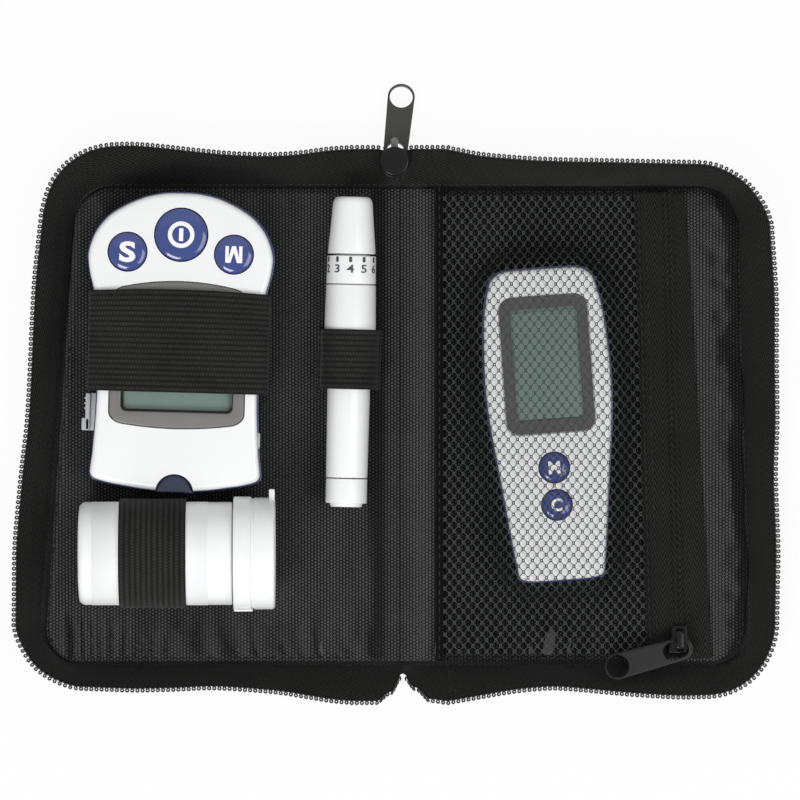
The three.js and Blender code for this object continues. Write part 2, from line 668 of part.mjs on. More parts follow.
// Meters. Outlines follow tables of shares: along the length, then half the width there.
function meterOutline(shares, width, length) {
  const right = shares.map(([along, across]) => new THREE.Vector2((across * width) / 2, (along * length) / 2));
  const left = [...right].reverse().map((p) => new THREE.Vector2(-p.x, p.y));
  return [...right, ...left].reverse();
}

// The half width that a table of shares gives at a place along the meter
function shareAt(shares, along) {
  const next = shares.findIndex(([place]) => place < along);
  if (next === 0) return shares[0][1];
  if (next < 0) return shares.at(-1)[1];
  const [[y0, w0], [y1, w1]] = [shares[next - 1], shares[next]];
  return w0 + ((w1 - w0) * (along - y0)) / (y1 - y0);
}

function meterShells({ shares, width, length, bottom, split, top, front }) {
  const outline = (inset) => meterOutline(shares, width - 2 * inset, length - 2 * inset);
  const wide = (inset) => outline(inset - BACK_PROUD);
  const edge = EDGE_ROUND;
  const outside = layers(
    [outline(0), outline(0), outline(edge * EDGE_BULGE), outline(edge)],
    [split + REST_GAP, top - edge, top - edge * EDGE_BULGE, top],
  );
  const inside = slab(outline(SHELL_WALL), split - OVERRUN, top - front);
  const back = layers([wide(SHELL_WALL), wide(0), wide(0)], [bottom, bottom + SHELL_WALL, split]);
  const hollow = slab(wide(SHELL_WALL + BACK_PROUD), bottom + SHELL_WALL, split + OVERRUN);
  return { outline, outside, inside, back, hollow };
}

// A push button: a domed head on a flange that a hole holds from below
function button(radius, flangeBottom, faceZ) {
  return turned([
    [0, flangeBottom],
    [radius + BUTTON_FLANGE, flangeBottom],
    [radius + BUTTON_FLANGE, flangeBottom + BUTTON_FLANGE_HEIGHT],
    [radius, flangeBottom + BUTTON_FLANGE_HEIGHT],
    ...BUTTON_DOME_SHARES.map(([out, up]) => [radius * out, faceZ + BUTTON_DOME * up]),
  ]);
}

function meterA() {
  const group = new THREE.Group();
  group.position.set(toX(LEFT, meterU), meterY, 0);
  group.rotation.z = METER_A_LEAN;
  part.add(group);

  const bottom = floorZ;
  const top = floorZ + METER_A_THICKNESS;
  const split = floorZ + METER_A_THICKNESS * SPLIT_SHARE;
  const shells = meterShells({
    shares: METER_A_HALF_WIDTH_SHARES,
    width: METER_A_WIDTH,
    length: METER_A_LENGTH,
    bottom,
    split,
    top,
    front: FRONT_THICKNESS,
  });
  const footY = -METER_A_LENGTH / 2;
  const screen = (grow) => {
    const [width, length] = [SCREEN_WIDTH + 2 * grow, SCREEN_LENGTH + 2 * grow];
    return roundedBox(width, length, SCREEN_CORNER + grow, 0, SCREEN_SHIFT);
  };
  const recessZ = top - BEZEL_THICKNESS - WINDOW_THICKNESS - 2 * REST_GAP;
  const buttons = [
    ['power_button', POWER_RADIUS, 0, POWER_ALONG],
    ['set_button', SIDE_BUTTON_RADIUS, -SIDE_BUTTON_ACROSS, SIDE_BUTTON_ALONG],
    ['memory_button', SIDE_BUTTON_RADIUS, SIDE_BUTTON_ACROSS, SIDE_BUTTON_ALONG],
  ];
  const portRadius = PORT_WIDTH / 2;
  const halfRound = (y, radius, low, high) => slab(arcPoints(0, y, radius, 0, Math.PI, ROUND / 2), low, high);
  const portY = footY - BACK_PROUD;
  const ejectSide = -(METER_A_WIDTH / 2) * EJECT_SIDE_SHARE;
  const ejectZ = split - SHELL_WALL - EJECT_TONGUE_HEIGHT;
  const ejectSlot = block(
    4 * EJECT_TONGUE,
    EJECT_LENGTH + EJECT_TRAVEL + 2 * REST_GAP,
    ejectZ - REST_GAP,
    ejectZ + EJECT_TONGUE_HEIGHT + REST_GAP,
    ejectSide,
    EJECT_ALONG - EJECT_TRAVEL / 2,
  );

  const front = cut(
    shells.outside, shells.inside,
    slab(screen(REST_GAP), recessZ, top + OVERRUN),
    slab(screen(-BEZEL_WIDTH / 2), split, top),
    ...buttons.map(([, radius, x, y]) => disc(radius + REST_GAP, split, top + OVERRUN, x, y)),
    halfRound(portY, portRadius + REST_GAP, split - OVERRUN, top + OVERRUN),
  );
  add('meter_a_front_shell', front, whitePlastic, group);

  const postTop = split - REST_GAP;
  const posts = [-POST_ACROSS, POST_ACROSS];
  const atPosts = (radius, low, high) => posts.map((x) => disc(radius, low, high, x, POST_ALONG));
  const headTop = bottom + SCREW_HEAD_HEIGHT + 2 * REST_GAP;
  const doorHole = DOOR_SIZE + 2 * REST_GAP;
  const back = cut(
    join(cut(shells.back, shells.hollow), ...atPosts(POST_RADIUS, bottom + SHELL_WALL / 2, postTop)),
    ...atPosts(SCREW_RADIUS + REST_GAP, bottom - OVERRUN, split + OVERRUN),
    ...atPosts(SCREW_HEAD + REST_GAP, bottom - OVERRUN, headTop),
    block(doorHole, doorHole, bottom - OVERRUN, bottom + SHELL_WALL + OVERRUN, 0, DOOR_ALONG),
    halfRound(portY, portRadius + REST_GAP, split - SHELL_WALL - EJECT_TONGUE_HEIGHT, split + OVERRUN),
    ejectSlot,
  );
  add('meter_a_back_shell', back, navyPlastic, group);

  posts.forEach((x, i) => {
    const headZ = bottom + REST_GAP;
    const screw = turned([
      [0, headZ],
      [SCREW_HEAD, headZ],
      [SCREW_HEAD, headZ + SCREW_HEAD_HEIGHT],
      [SCREW_RADIUS, headZ + SCREW_HEAD_HEIGHT],
      [SCREW_RADIUS, headZ + SCREW_LENGTH],
      [0, headZ + SCREW_LENGTH],
    ]);
    add(`meter_a_screw_${i + 1}`, screw.translate(x, POST_ALONG, 0), steel, group);
  });

  const doorTop = bottom + DOOR_THICKNESS;
  const door = block(DOOR_SIZE, DOOR_SIZE, bottom, doorTop, 0, DOOR_ALONG);
  add('meter_a_battery_door', door, navyPlastic, group);
  const cellZ = doorTop + REST_GAP;
  add('meter_a_coin_cell', disc(CELL_RADIUS, cellZ, cellZ + CELL_THICKNESS, 0, DOOR_ALONG), steel, group);

  const pcbZ = postTop + REST_GAP;
  const pcbTop = pcbZ + PCB;
  const pcbOutline = shells.outline(SHELL_WALL + 2 * REST_GAP);
  const portClear = halfRound(footY, portRadius + 3 * REST_GAP, pcbZ - OVERRUN, pcbTop + OVERRUN);
  add('meter_a_pcb', cut(slab(pcbOutline, pcbZ, pcbTop), portClear), boardGreen, group);

  const padZ = pcbTop + REST_GAP;
  const padWidth = 2 * SIDE_BUTTON_ACROSS + SIDE_BUTTON_RADIUS;
  const padY = (POWER_ALONG + SIDE_BUTTON_ALONG) / 2;
  const pad = roundedBox(padWidth, POWER_RADIUS, POWER_RADIUS / 3, 0, padY);
  const padTop = padZ + PAD_THICKNESS;
  const padRoom = toSolid(slab(pcbOutline, padZ, padTop));
  add('meter_a_button_pad', toSolid(slab(pad, padZ, padTop)).intersect(padRoom), padRubber, group);

  const flangeZ = top - FRONT_THICKNESS - REST_GAP - BUTTON_FLANGE_HEIGHT;
  for (const [name, radius, x, y] of buttons) {
    add(`meter_a_${name}`, button(radius, flangeZ, top).translate(x, y, 0), navyPlastic, group);
  }

  const displayWidth = SCREEN_WIDTH - 2 * BEZEL_WIDTH;
  const displayLength = SCREEN_LENGTH - 2 * BEZEL_FOOT;
  const displayTop = recessZ - REST_GAP;
  const displayLow = displayTop - DISPLAY_THICKNESS;
  const display = block(displayWidth, displayLength, displayLow, displayTop, 0, SCREEN_SHIFT);
  add('meter_a_display', display, displayGlass, group);
  const windowZ = recessZ + REST_GAP;
  add('meter_a_window', slab(screen(0), windowZ, windowZ + WINDOW_THICKNESS), clearPlastic, group);
  const bezelZ = windowZ + WINDOW_THICKNESS + REST_GAP;
  const openingLength = SCREEN_LENGTH - BEZEL_WIDTH - BEZEL_FOOT;
  const openingY = SCREEN_SHIFT + (BEZEL_FOOT - BEZEL_WIDTH) / 2;
  const opening = roundedBox(displayWidth, openingLength, BEZEL_WIDTH / 2, 0, openingY);
  const frame = slab(screen(0), bezelZ, bezelZ + BEZEL_THICKNESS);
  add('meter_a_bezel', cut(frame, slab(opening, bezelZ - OVERRUN, top + OVERRUN)), greyPlastic, group);

  const slotZ = split + PORT_SLOT_RISE;
  const port = cut(
    halfRound(portY, portRadius, split - REST_GAP - EJECT_TONGUE_HEIGHT, top - EDGE_ROUND),
    block(PORT_SLOT_WIDTH, PORT_DEPTH, slotZ, slotZ + PORT_SLOT_HEIGHT, 0, portY),
  );
  add('meter_a_strip_port', port, navyPlastic, group);

  const slideInner = ejectSide - 2 * BACK_PROUD - 2 * REST_GAP;
  const slideZ = ejectZ - REST_GAP;
  const slideTop = slideZ + EJECT_HEIGHT;
  const nub = EJECT_PROUD + EJECT_NUB;
  const nubY = EJECT_ALONG - EJECT_LENGTH / 3;
  const tongueTop = ejectZ + EJECT_TONGUE_HEIGHT;
  const tongueX = slideInner + EJECT_TONGUE - REST_GAP;
  const slide = join(
    block(EJECT_PROUD, EJECT_LENGTH, slideZ, slideTop, slideInner - EJECT_PROUD / 2, EJECT_ALONG),
    block(nub, EJECT_LENGTH / 3, slideZ, slideTop, slideInner - nub / 2, nubY),
    block(2 * EJECT_TONGUE, EJECT_LENGTH, ejectZ, tongueTop, tongueX, EJECT_ALONG),
  );
  add('meter_a_eject_slide', slide, paleGrey, group);

  // The wide elastic strap over the meter's middle
  const strapLow = METER_STRAP_ALONG - METER_STRAP_WIDTH / 2;
  const strapAcross = (METER_A_WIDTH / 2) * METER_STRAP_SHARE + BACK_PROUD;
  const strapTop = top + 2 * REST_GAP;
  const strapFloor = stack + REST_GAP;
  const arch = (grow) => {
    const [x, z] = [strapAcross + REST_GAP + grow, strapTop + grow];
    const way = [[x, strapFloor], [x, z - EDGE_ROUND], [x - EDGE_ROUND, z]];
    return [...way, ...way.map(([px, pz]) => [-px, pz]).reverse()];
  };
  const strapSection = [...arch(STRAP), ...arch(0).reverse()];
  const strapRing = (y) => strapSection.map(([x, z]) => new THREE.Vector3(x, y, z));
  const strap = band([strapRing(strapLow), strapRing(strapLow + METER_STRAP_WIDTH)]);
  const feet = [-1, 1].map((way) => {
    const footX = way * (strapAcross + REST_GAP + STRAP_FOOT / 2);
    return block(STRAP_FOOT, METER_STRAP_WIDTH, strapFloor, strapFloor + STRAP, footX, METER_STRAP_ALONG);
  });
  add('meter_strap', join(strap, ...feet), elastic, group);
}

function meterB() {
  const group = new THREE.Group();
  const centreU = NET_FOLD_MARGIN + METER_B_INSET + METER_B_WIDTH / 2;
  group.position.set(toX(RIGHT, centreU), METER_B_SHIFT, 0);
  group.rotation.z = METER_B_LEAN;
  part.add(group);

  const bottom = floorZ;
  const top = floorZ + METER_B_THICKNESS;
  const split = floorZ + METER_B_THICKNESS * SPLIT_SHARE;
  const shells = meterShells({
    shares: METER_B_HALF_WIDTH_SHARES,
    width: METER_B_WIDTH - 2 * BACK_PROUD,
    length: METER_B_LENGTH - 2 * BACK_PROUD,
    bottom,
    split,
    top,
    front: FRONT_B_THICKNESS,
  });
  const screen = (grow) => {
    const [width, length] = [SCREEN_B_WIDTH + 2 * grow, SCREEN_B_LENGTH + 2 * grow];
    return roundedBox(width, length, SCREEN_CORNER + grow, 0, SCREEN_B_SHIFT);
  };
  const recessZ = top - WINDOW_THICKNESS - REST_GAP;
  const buttons = [['upper', BUTTON_B_ALONG], ['lower', BUTTON_B_ALONG - BUTTON_B_PITCH]];
  const front = cut(
    shells.outside, shells.inside,
    slab(screen(REST_GAP), recessZ, top + OVERRUN),
    slab(screen(-BEZEL_WIDTH / 2), split, top),
    ...buttons.map(([, y]) => disc(BUTTON_B_RADIUS + REST_GAP, split, top + OVERRUN, 0, y)),
  );
  add('meter_b_front_shell', front, whitePlastic, group);
  const ribLow = bottom + SHELL_WALL / 2;
  const ribX = CELL_RADIUS + SHELL_WALL;
  const ribs = [-ribX, ribX].map((x) =>
    block(SHELL_WALL, METER_B_WIDTH / 2, ribLow, split - REST_GAP, x, SCREEN_B_SHIFT));
  add('meter_b_back_shell', join(cut(shells.back, shells.hollow), ...ribs), navyPlastic, group);
  const cellZ = bottom + SHELL_WALL + REST_GAP;
  const cell = disc(CELL_RADIUS, cellZ, cellZ + CELL_THICKNESS, 0, SCREEN_B_SHIFT);
  add('meter_b_coin_cell', cell, steel, group);
  const pcb = slab(shells.outline(SHELL_WALL + 2 * REST_GAP), split, split + PCB);
  add('meter_b_pcb', pcb, boardGreen, group);
  const displayLow = split + PCB + REST_GAP;
  const displayWidth = SCREEN_B_WIDTH - 2 * BEZEL_WIDTH;
  const displayLength = SCREEN_B_LENGTH - 2 * BEZEL_WIDTH;
  const display = block(displayWidth, displayLength, displayLow, recessZ - REST_GAP, 0, SCREEN_B_SHIFT);
  add('meter_b_display', display, displayGlass, group);
  add('meter_b_window', slab(screen(0), recessZ + REST_GAP, top), clearPlastic, group);
  const flangeZ = top - FRONT_B_THICKNESS - REST_GAP - BUTTON_FLANGE_HEIGHT;
  for (const [name, y] of buttons) {
    const key = button(BUTTON_B_RADIUS, flangeZ, top).translate(0, y, 0);
    add(`meter_b_${name}_button`, key, navyPlastic, group);
  }
  return { group, top };
}

// The lancing pen, turned about its own axis along +Y
function pen() {
  const group = new THREE.Group();
  const axisZ = floorZ + PEN_COLLAR;
  group.position.set(toX(LEFT, penU), PEN_ALONG, axisZ);
  group.rotation.z = PEN_LEAN;
  part.add(group);
  const lying = (geometry) => geometry.rotateX(-Math.PI / 2);
  const end = PEN_LENGTH / 2;
  const capStart = end - PEN_CAP_LENGTH;
  const dialTop = capStart - REST_GAP;
  const dialStart = dialTop - DIAL_LENGTH;
  const collarTop = dialStart - REST_GAP;
  const collarStart = collarTop - COLLAR_LENGTH;
  const sleeveTop = SLEEVE_LENGTH - end;
  const barrelEnd = sleeveTop + REST_GAP;
  const springSeat = barrelEnd + SHELL_WALL;
  const neckTop = capStart + NECK_INTO_CAP;
  const capSeat = PEN_CAP - CAP_WALL - REST_GAP;

  const neckBore = PEN_BORE - CAP_WALL;
  const barrel = turned([
    [PEN_ROD_BORE, barrelEnd],
    [PEN_TAIL, barrelEnd],
    [PEN_BODY, collarStart - COLLAR_TAPER],
    [PEN_COLLAR - REST_GAP, collarStart],
    [PEN_COLLAR, collarStart + COLLAR_TAPER],
    [PEN_DIAL, collarTop],
    [PEN_NECK, collarTop],
    [PEN_NECK, capStart],
    [capSeat, capStart],
    [capSeat, neckTop],
    [neckBore, neckTop],
    [neckBore, capStart - REST_GAP],
    [PEN_BORE, dialStart],
    [PEN_BORE, springSeat],
    [PEN_ROD_BORE, springSeat],
  ]);
  const hole = disc(RELEASE_RADIUS + REST_GAP, -1.5 * PEN_BODY, -PEN_BODY / 2, 0, RELEASE_ALONG);
  add('pen_barrel', cut(lying(barrel), hole), whitePlastic, group);

  const releaseLow = -(PEN_BODY + RELEASE_PROUD);
  const release = disc(RELEASE_RADIUS, releaseLow, releaseLow + RELEASE_DEPTH, 0, RELEASE_ALONG);
  add('pen_release_button', release, paleGrey, group);

  const dial = turned([
    [PEN_NECK + REST_GAP, dialStart],
    [PEN_DIAL, dialStart],
    [PEN_DIAL, dialTop - REST_GAP],
    [PEN_DIAL - REST_GAP, dialTop],
    [PEN_NECK + REST_GAP, dialTop],
  ]);
  add('pen_depth_dial', lying(dial), whitePlastic, group);

  const capBore = PEN_CAP - CAP_WALL;
  const cap = turned([
    [capBore, capStart + REST_GAP],
    [PEN_CAP_FOOT, capStart + REST_GAP],
    [PEN_CAP, end - CAP_WALL],
    [capBore, end],
    [CAP_MOUTH, end],
    [CAP_MOUTH, end - CAP_WALL],
    [capBore, end - CAP_WALL],
  ]);
  add('pen_cap', lying(cap), whitePlastic, group);

  const sleeveStep = PEN_TAIL * SLEEVE_END_SHARE;
  const sleeveBore = PEN_TAIL - CAP_WALL;
  const rodHole = ROD_RADIUS + REST_GAP;
  const rodSeat = CAP_WALL - end;
  const sleeve = turned([
    [0, -end],
    [sleeveStep, -end],
    [sleeveStep, rodSeat],
    [PEN_TAIL, rodSeat],
    [PEN_TAIL, sleeveTop],
    [sleeveBore, sleeveTop],
    [sleeveBore, rodSeat + CAP_WALL],
    [rodHole, rodSeat + CAP_WALL],
    [rodHole, rodSeat],
    [0, rodSeat],
  ]);
  add('pen_cocking_sleeve', lying(sleeve), whitePlastic, group);

  const carrierStart = springSeat + SPRING_LENGTH + 2 * REST_GAP;
  const carrierRadius = PEN_BORE - REST_GAP;
  const noseRadius = PEN_BORE - CAP_WALL - REST_GAP;
  const carrierEnd = carrierStart + CARRIER_LENGTH;
  const holder = LANCET_RADIUS + REST_GAP;
  const holderFloor = carrierEnd - LANCET_LENGTH / 2;
  const carrier = turned([
    [0, rodSeat + REST_GAP],
    [ROD_RADIUS, rodSeat + REST_GAP],
    [ROD_RADIUS, carrierStart],
    [carrierRadius, carrierStart],
    [carrierRadius, carrierStart + CAP_WALL],
    [noseRadius, carrierStart + CAP_WALL],
    [noseRadius, carrierEnd],
    [holder, carrierEnd],
    [holder, holderFloor],
    [0, holderFloor],
  ]);
  add('pen_lancet_carrier', lying(carrier), paleGrey, group);
  const lancetStart = holderFloor + REST_GAP;
  const lancetEnd = lancetStart + LANCET_LENGTH;
  const lancet = turned([
    [0, lancetStart],
    [LANCET_RADIUS, lancetStart],
    [LANCET_RADIUS, lancetEnd],
    [NEEDLE_RADIUS, lancetEnd],
    [0, lancetEnd + NEEDLE_LENGTH],
  ]);
  add('pen_lancet', lying(lancet), steel, group);
  add('pen_drive_spring', springCoil(springSeat + REST_GAP, SPRING_LENGTH), steel, group);

  // The elastic loop round the pen
  const loopStart = collarStart + PEN_LOOP_LAP - PEN_LOOP_WIDTH;
  const arch = elasticArch(PEN_COLLAR + REST_GAP, axisZ);
  const loopRing = (y) => arch.map(([x, z]) => new THREE.Vector3(x, y, z - axisZ));
  add('pen_loop', band([loopRing(loopStart), loopRing(loopStart + PEN_LOOP_WIDTH)]), elastic, group);
}

// A round wire helix along +Y
function springCoil(start, length) {
  const steps = SPRING_CURLS * CURL_STEPS;
  const rings = [];
  for (let i = 0; i <= steps; i++) {
    const angle = (i / CURL_STEPS) * 2 * Math.PI;
    const y = start + SPRING_WIRE + ((length - 2 * SPRING_WIRE) * i) / steps;
    const ring = [];
    for (let k = 0; k < WIRE_SIDES; k++) {
      const round = (k / WIRE_SIDES) * 2 * Math.PI;
      const radius = SPRING_RADIUS + SPRING_WIRE * Math.cos(round);
      const [x, z] = [radius * Math.cos(angle), radius * Math.sin(angle)];
      ring.push(new THREE.Vector3(x, y + SPRING_WIRE * Math.sin(round), z));
    }
    rings.push(ring);
  }
  return band(rings);
}

// An elastic band's section over a round body that lies with its axis at a height above the lining
function elasticArch(radius, axisZ) {
  const foot = stack + REST_GAP;
  const over = (grow) => [
    [radius + grow, foot],
    ...arcPoints(0, axisZ, radius + grow, 0, Math.PI, ROUND / 2).map((p) => [p.x, p.y]),
    [-(radius + grow), foot],
  ];
  return [...over(STRAP), ...over(0).reverse()];
}

// The vial of test strips, lying with its closed end to the outside
function vial() {
  const group = new THREE.Group();
  const axisZ = floorZ + VIAL_CAP_RADIUS;
  const closedX = toX(LEFT, meterU + METER_A_WIDTH / 2 + VIAL_OUTSET);
  group.position.set(closedX, vialY, axisZ);
  part.add(group);
  const lying = (geometry) => geometry.rotateY(Math.PI / 2);
  const inner = VIAL_RADIUS - VIAL_WALL;
  const body = turned([
    [0, 0],
    [inner, 0],
    [VIAL_RADIUS, VIAL_WALL],
    [VIAL_RADIUS, VIAL_BODY_LENGTH],
    [inner, VIAL_BODY_LENGTH],
    [inner, VIAL_WALL],
    [0, VIAL_WALL],
  ]);
  add('vial_body', lying(body), whitePlastic, group);

  const capStart = VIAL_BODY_LENGTH + REST_GAP;
  const capEnd = VIAL_BODY_LENGTH + VIAL_CAP_LENGTH;
  const plugRadius = inner - VIAL_PLUG_GAP;
  const capHollow = plugRadius - VIAL_CAP_WALL;
  const shell = turned([
    [0, capEnd - VIAL_CAP_WALL],
    [capHollow, capEnd - VIAL_CAP_WALL],
    [capHollow, capStart - VIAL_PLUG],
    [plugRadius, capStart - VIAL_PLUG],
    [plugRadius, capStart],
    [VIAL_CAP_RADIUS, capStart],
    [VIAL_CAP_RADIUS, capEnd - VIAL_CAP_WALL / 2],
    [VIAL_CAP_RADIUS - VIAL_CAP_WALL / 2, capEnd],
    [0, capEnd],
  ]);
  const tabX = capEnd - (THUMB_TAB + VIAL_CAP_WALL) / 2;
  const tabY = VIAL_CAP_RADIUS + (THUMB_TAB - VIAL_CAP_WALL) / 2;
  const tab = block(THUMB_TAB, THUMB_TAB + VIAL_CAP_WALL, -THUMB_WIDTH / 2, THUMB_WIDTH / 2, tabX, tabY);
  add('vial_cap', join(lying(shell), tab), whitePlastic, group);

  const stripDrop = inner - Math.sqrt(inner * inner - (STRIP_WIDTH * STRIP_WIDTH) / 4) + REST_GAP;
  const stripLow = stripDrop - inner;
  const stripX = VIAL_WALL + REST_GAP + STRIP_LENGTH / 2;
  const strips = block(STRIP_LENGTH, STRIP_WIDTH, stripLow, stripLow + STRIP_STACK, stripX);
  add('vial_test_strips', strips, clearPlastic, group);

  const arch = elasticArch(VIAL_RADIUS + REST_GAP, axisZ);
  const strapRing = (x) => arch.map(([y, z]) => new THREE.Vector3(x, y, z - axisZ));
  const strap = band([strapRing(VIAL_STRAP_SHIFT), strapRing(VIAL_STRAP_SHIFT + VIAL_STRAP_WIDTH)]);
  add('vial_strap', strap, elastic, group);
}

// The net pocket over meter B, with its own zip beside it
function pocket(meter) {
  const zipU = (y) => seamWidth(RIGHT, y) - POCKET_ZIP_MARGIN;
  const end = headY - NET_END_MARGIN;
  const tapeZ = stack + REST_GAP;
  const netZ = tapeZ + POCKET_TAPE + REST_GAP;
  const strip = (near, far, low, high) => {
    const outline = [[near(-end), -end], [far(-end), -end], [far(end), end], [near(end), end]];
    return slab(outline.map(([u, y]) => new THREE.Vector2(toX(RIGHT, u), y)), low, high);
  };
  const coilHalf = POCKET_COIL / 2;
  const tapeEdge = coilHalf + REST_GAP;
  const beside = (offset) => (y) => zipU(y) + offset;
  const innerEdge = beside(-tapeEdge - POCKET_TAPE_WIDTH);
  const middleWidth = (POCKET_OUTER_HEAD + POCKET_OUTER_FOOT) / 2;
  const outerSplay = (POCKET_OUTER_FOOT - POCKET_OUTER_HEAD) / panelLength;
  const outerEdge = (y) => zipU(y) + middleWidth - outerSplay * y;
  const tapeTop = tapeZ + POCKET_TAPE;
  add('pocket_tape_inner', strip(innerEdge, beside(-tapeEdge), tapeZ, tapeTop), tapeCloth);
  add('pocket_tape_outer', strip(beside(tapeEdge), outerEdge, tapeZ, tapeTop), tapeCloth);
  add('pocket_coil', strip(beside(-coilHalf), beside(coilHalf), tapeZ, tapeZ + POCKET_COIL_HEIGHT), zipNylon);

  // Net: an outline with hexagonal gaps, lifted over the meter
  const netStart = toX(RIGHT, NET_FOLD_MARGIN);
  const netEnd = (y) => toX(RIGHT, innerEdge(y) + NET_OVERLAP);
  const shape = new THREE.Shape([
    new THREE.Vector2(netStart, -end),
    new THREE.Vector2(netEnd(-end), -end),
    new THREE.Vector2(netEnd(end), end),
    new THREE.Vector2(netStart, end),
  ]);
  const rowPitch = (CELL_PITCH * Math.sqrt(3)) / 2;
  const gapRadius = (CELL_PITCH - CELL_STRUT) / Math.sqrt(3);
  const inset = NET_BORDER + CELL_PITCH / 2;
  const rows = Math.floor((2 * (end - inset)) / rowPitch);
  for (let row = 0; row <= rows; row++) {
    const y = (row - rows / 2) * rowPitch;
    const shift = row % 2 ? CELL_PITCH / 2 : 0;
    for (let x = netStart + inset + shift; x <= netEnd(y) - inset; x += CELL_PITCH) {
      const turn = Math.PI / HEXAGON;
      const gap = arcPoints(x, y, gapRadius, turn, turn + 2 * Math.PI, HEXAGON).slice(0, HEXAGON);
      shape.holes.push(new THREE.Path(gap.reverse()));
    }
  }
  const net = new THREE.ExtrudeGeometry(shape, { depth: NET, bevelEnabled: false });
  const place = net.getAttribute('position');
  const rise = meter.top + 2 * REST_GAP - netZ + BUTTON_DOME;
  for (let i = 0; i < place.count; i++) {
    const dx = place.getX(i) - meter.group.position.x;
    const dy = place.getY(i) - meter.group.position.y;
    const [c, s] = [Math.cos(METER_B_LEAN), Math.sin(METER_B_LEAN)];
    const localY = dy * c - dx * s;
    const halfWidth = (METER_B_WIDTH / 2) * shareAt(METER_B_HALF_WIDTH_SHARES, (2 * localY) / METER_B_LENGTH);
    const across = Math.max(Math.abs(dx * c + dy * s) - halfWidth - REST_GAP, 0);
    const along = Math.max(Math.abs(localY) - METER_B_LENGTH / 2 - REST_GAP, 0);
    const away = Math.min(Math.hypot(across, along) / NET_SLOPE, 1);
    place.setZ(i, netZ + place.getZ(i) + rise * (1 - away * away * (3 - 2 * away)));
  }
  add('mesh_panel', toSolid(net), netCord);

  // Pocket slider, its bridge's lower leg over the coil near the foot end
  const legY = POCKET_SLIDER_FOOT - headY;
  const group = new THREE.Group();
  group.position.set(toX(RIGHT, zipU(legY)), legY, 0);
  group.rotation.z = Math.atan2(RIGHT_SPLAY, panelLength);
  part.add(group);
  const plateLow = tapeZ + POCKET_COIL_HEIGHT + REST_GAP;
  const plateHigh = plateLow + PLATE;
  const plateHead = PULL_WIDTH / 2 + REST_GAP + 2 * BRIDGE_LEG + REST_GAP;
  const [wide, narrow] = [POCKET_SLIDER_FOOT_WIDTH / 2, POCKET_SLIDER_HEAD_WIDTH / 2];
  const plate = [
    new THREE.Vector2(-wide, -BRIDGE_LEG),
    new THREE.Vector2(wide, -BRIDGE_LEG),
    new THREE.Vector2(narrow, plateHead),
    new THREE.Vector2(-narrow, plateHead),
  ];
  const railX = coilHalf + REST_GAP + PLATE / 4;
  const rails = [-railX, railX].map((x) =>
    block(PLATE / 2, plateHead, tapeTop + REST_GAP, plateHigh, x, plateHead / 2));
  const arch = bridge(plateHigh, BRIDGE_RISE, 1);
  add('pocket_slider', join(slab(plate, plateLow, plateHigh), ...rails, arch), blackLacquer, group);
  const hanger = new THREE.Group();
  hanger.position.set(toX(RIGHT, zipU(legY)), legY, plateHigh + BRIDGE_RISE / 2);
  hanger.rotation.order = 'ZXY';
  hanger.rotation.z = POCKET_PULL_ANGLE - Math.PI / 2;
  hanger.rotation.x = POCKET_PULL_LIFT;
  part.add(hanger);
  add('pocket_pull', pull(), blackLacquer, hanger);
}

half(LEFT, 'left');
half(RIGHT, 'right');
spine();
mainSlider();
meterA();
const secondMeter = meterB();
pen();
vial();
pocket(secondMeter);

export default part;
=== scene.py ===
"""Looks of the open glucose meter case. Lengths are in millimetres, and MM turns them into metres."""

import math

import bpy
from mathutils import Matrix, Vector, noise


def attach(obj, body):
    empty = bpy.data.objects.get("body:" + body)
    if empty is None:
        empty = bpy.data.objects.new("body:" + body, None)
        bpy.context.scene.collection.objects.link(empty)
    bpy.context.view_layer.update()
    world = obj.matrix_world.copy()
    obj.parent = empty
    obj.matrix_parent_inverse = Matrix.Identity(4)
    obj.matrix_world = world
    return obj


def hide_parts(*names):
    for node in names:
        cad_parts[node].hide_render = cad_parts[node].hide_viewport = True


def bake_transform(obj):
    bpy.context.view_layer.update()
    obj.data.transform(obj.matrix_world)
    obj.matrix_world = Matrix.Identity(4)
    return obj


MM = 0.001
LEFT = -1
RIGHT = 1

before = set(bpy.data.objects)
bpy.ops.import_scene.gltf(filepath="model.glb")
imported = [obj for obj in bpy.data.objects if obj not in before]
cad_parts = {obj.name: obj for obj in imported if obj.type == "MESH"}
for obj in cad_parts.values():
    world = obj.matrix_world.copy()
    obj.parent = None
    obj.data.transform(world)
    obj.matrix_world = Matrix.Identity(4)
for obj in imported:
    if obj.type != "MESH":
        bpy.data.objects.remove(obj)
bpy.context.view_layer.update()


def added(name, data):
    """A new object in the scene."""
    made = bpy.data.objects.new(name, data)
    bpy.context.scene.collection.objects.link(made)
    return made


# Camera: straight above the case
VIEW_MIDDLE_Y = 7.35
VIEW_WIDTH = 235.3
RIM_HEIGHT = 11
CAMERA_ABOVE_RIM = 3000
NEAREST_SEEN = 10
SENSOR = 36

camera_data = bpy.data.cameras.new("camera")
camera = added("camera", camera_data)
camera.location = Vector((0, VIEW_MIDDLE_Y, CAMERA_ABOVE_RIM + RIM_HEIGHT)) * MM
camera_data.sensor_width = SENSOR
camera_data.lens = SENSOR * CAMERA_ABOVE_RIM / VIEW_WIDTH
camera_data.clip_start = NEAREST_SEEN * MM
bpy.context.scene.camera = camera
bpy.context.scene.view_settings.view_transform = "Standard"

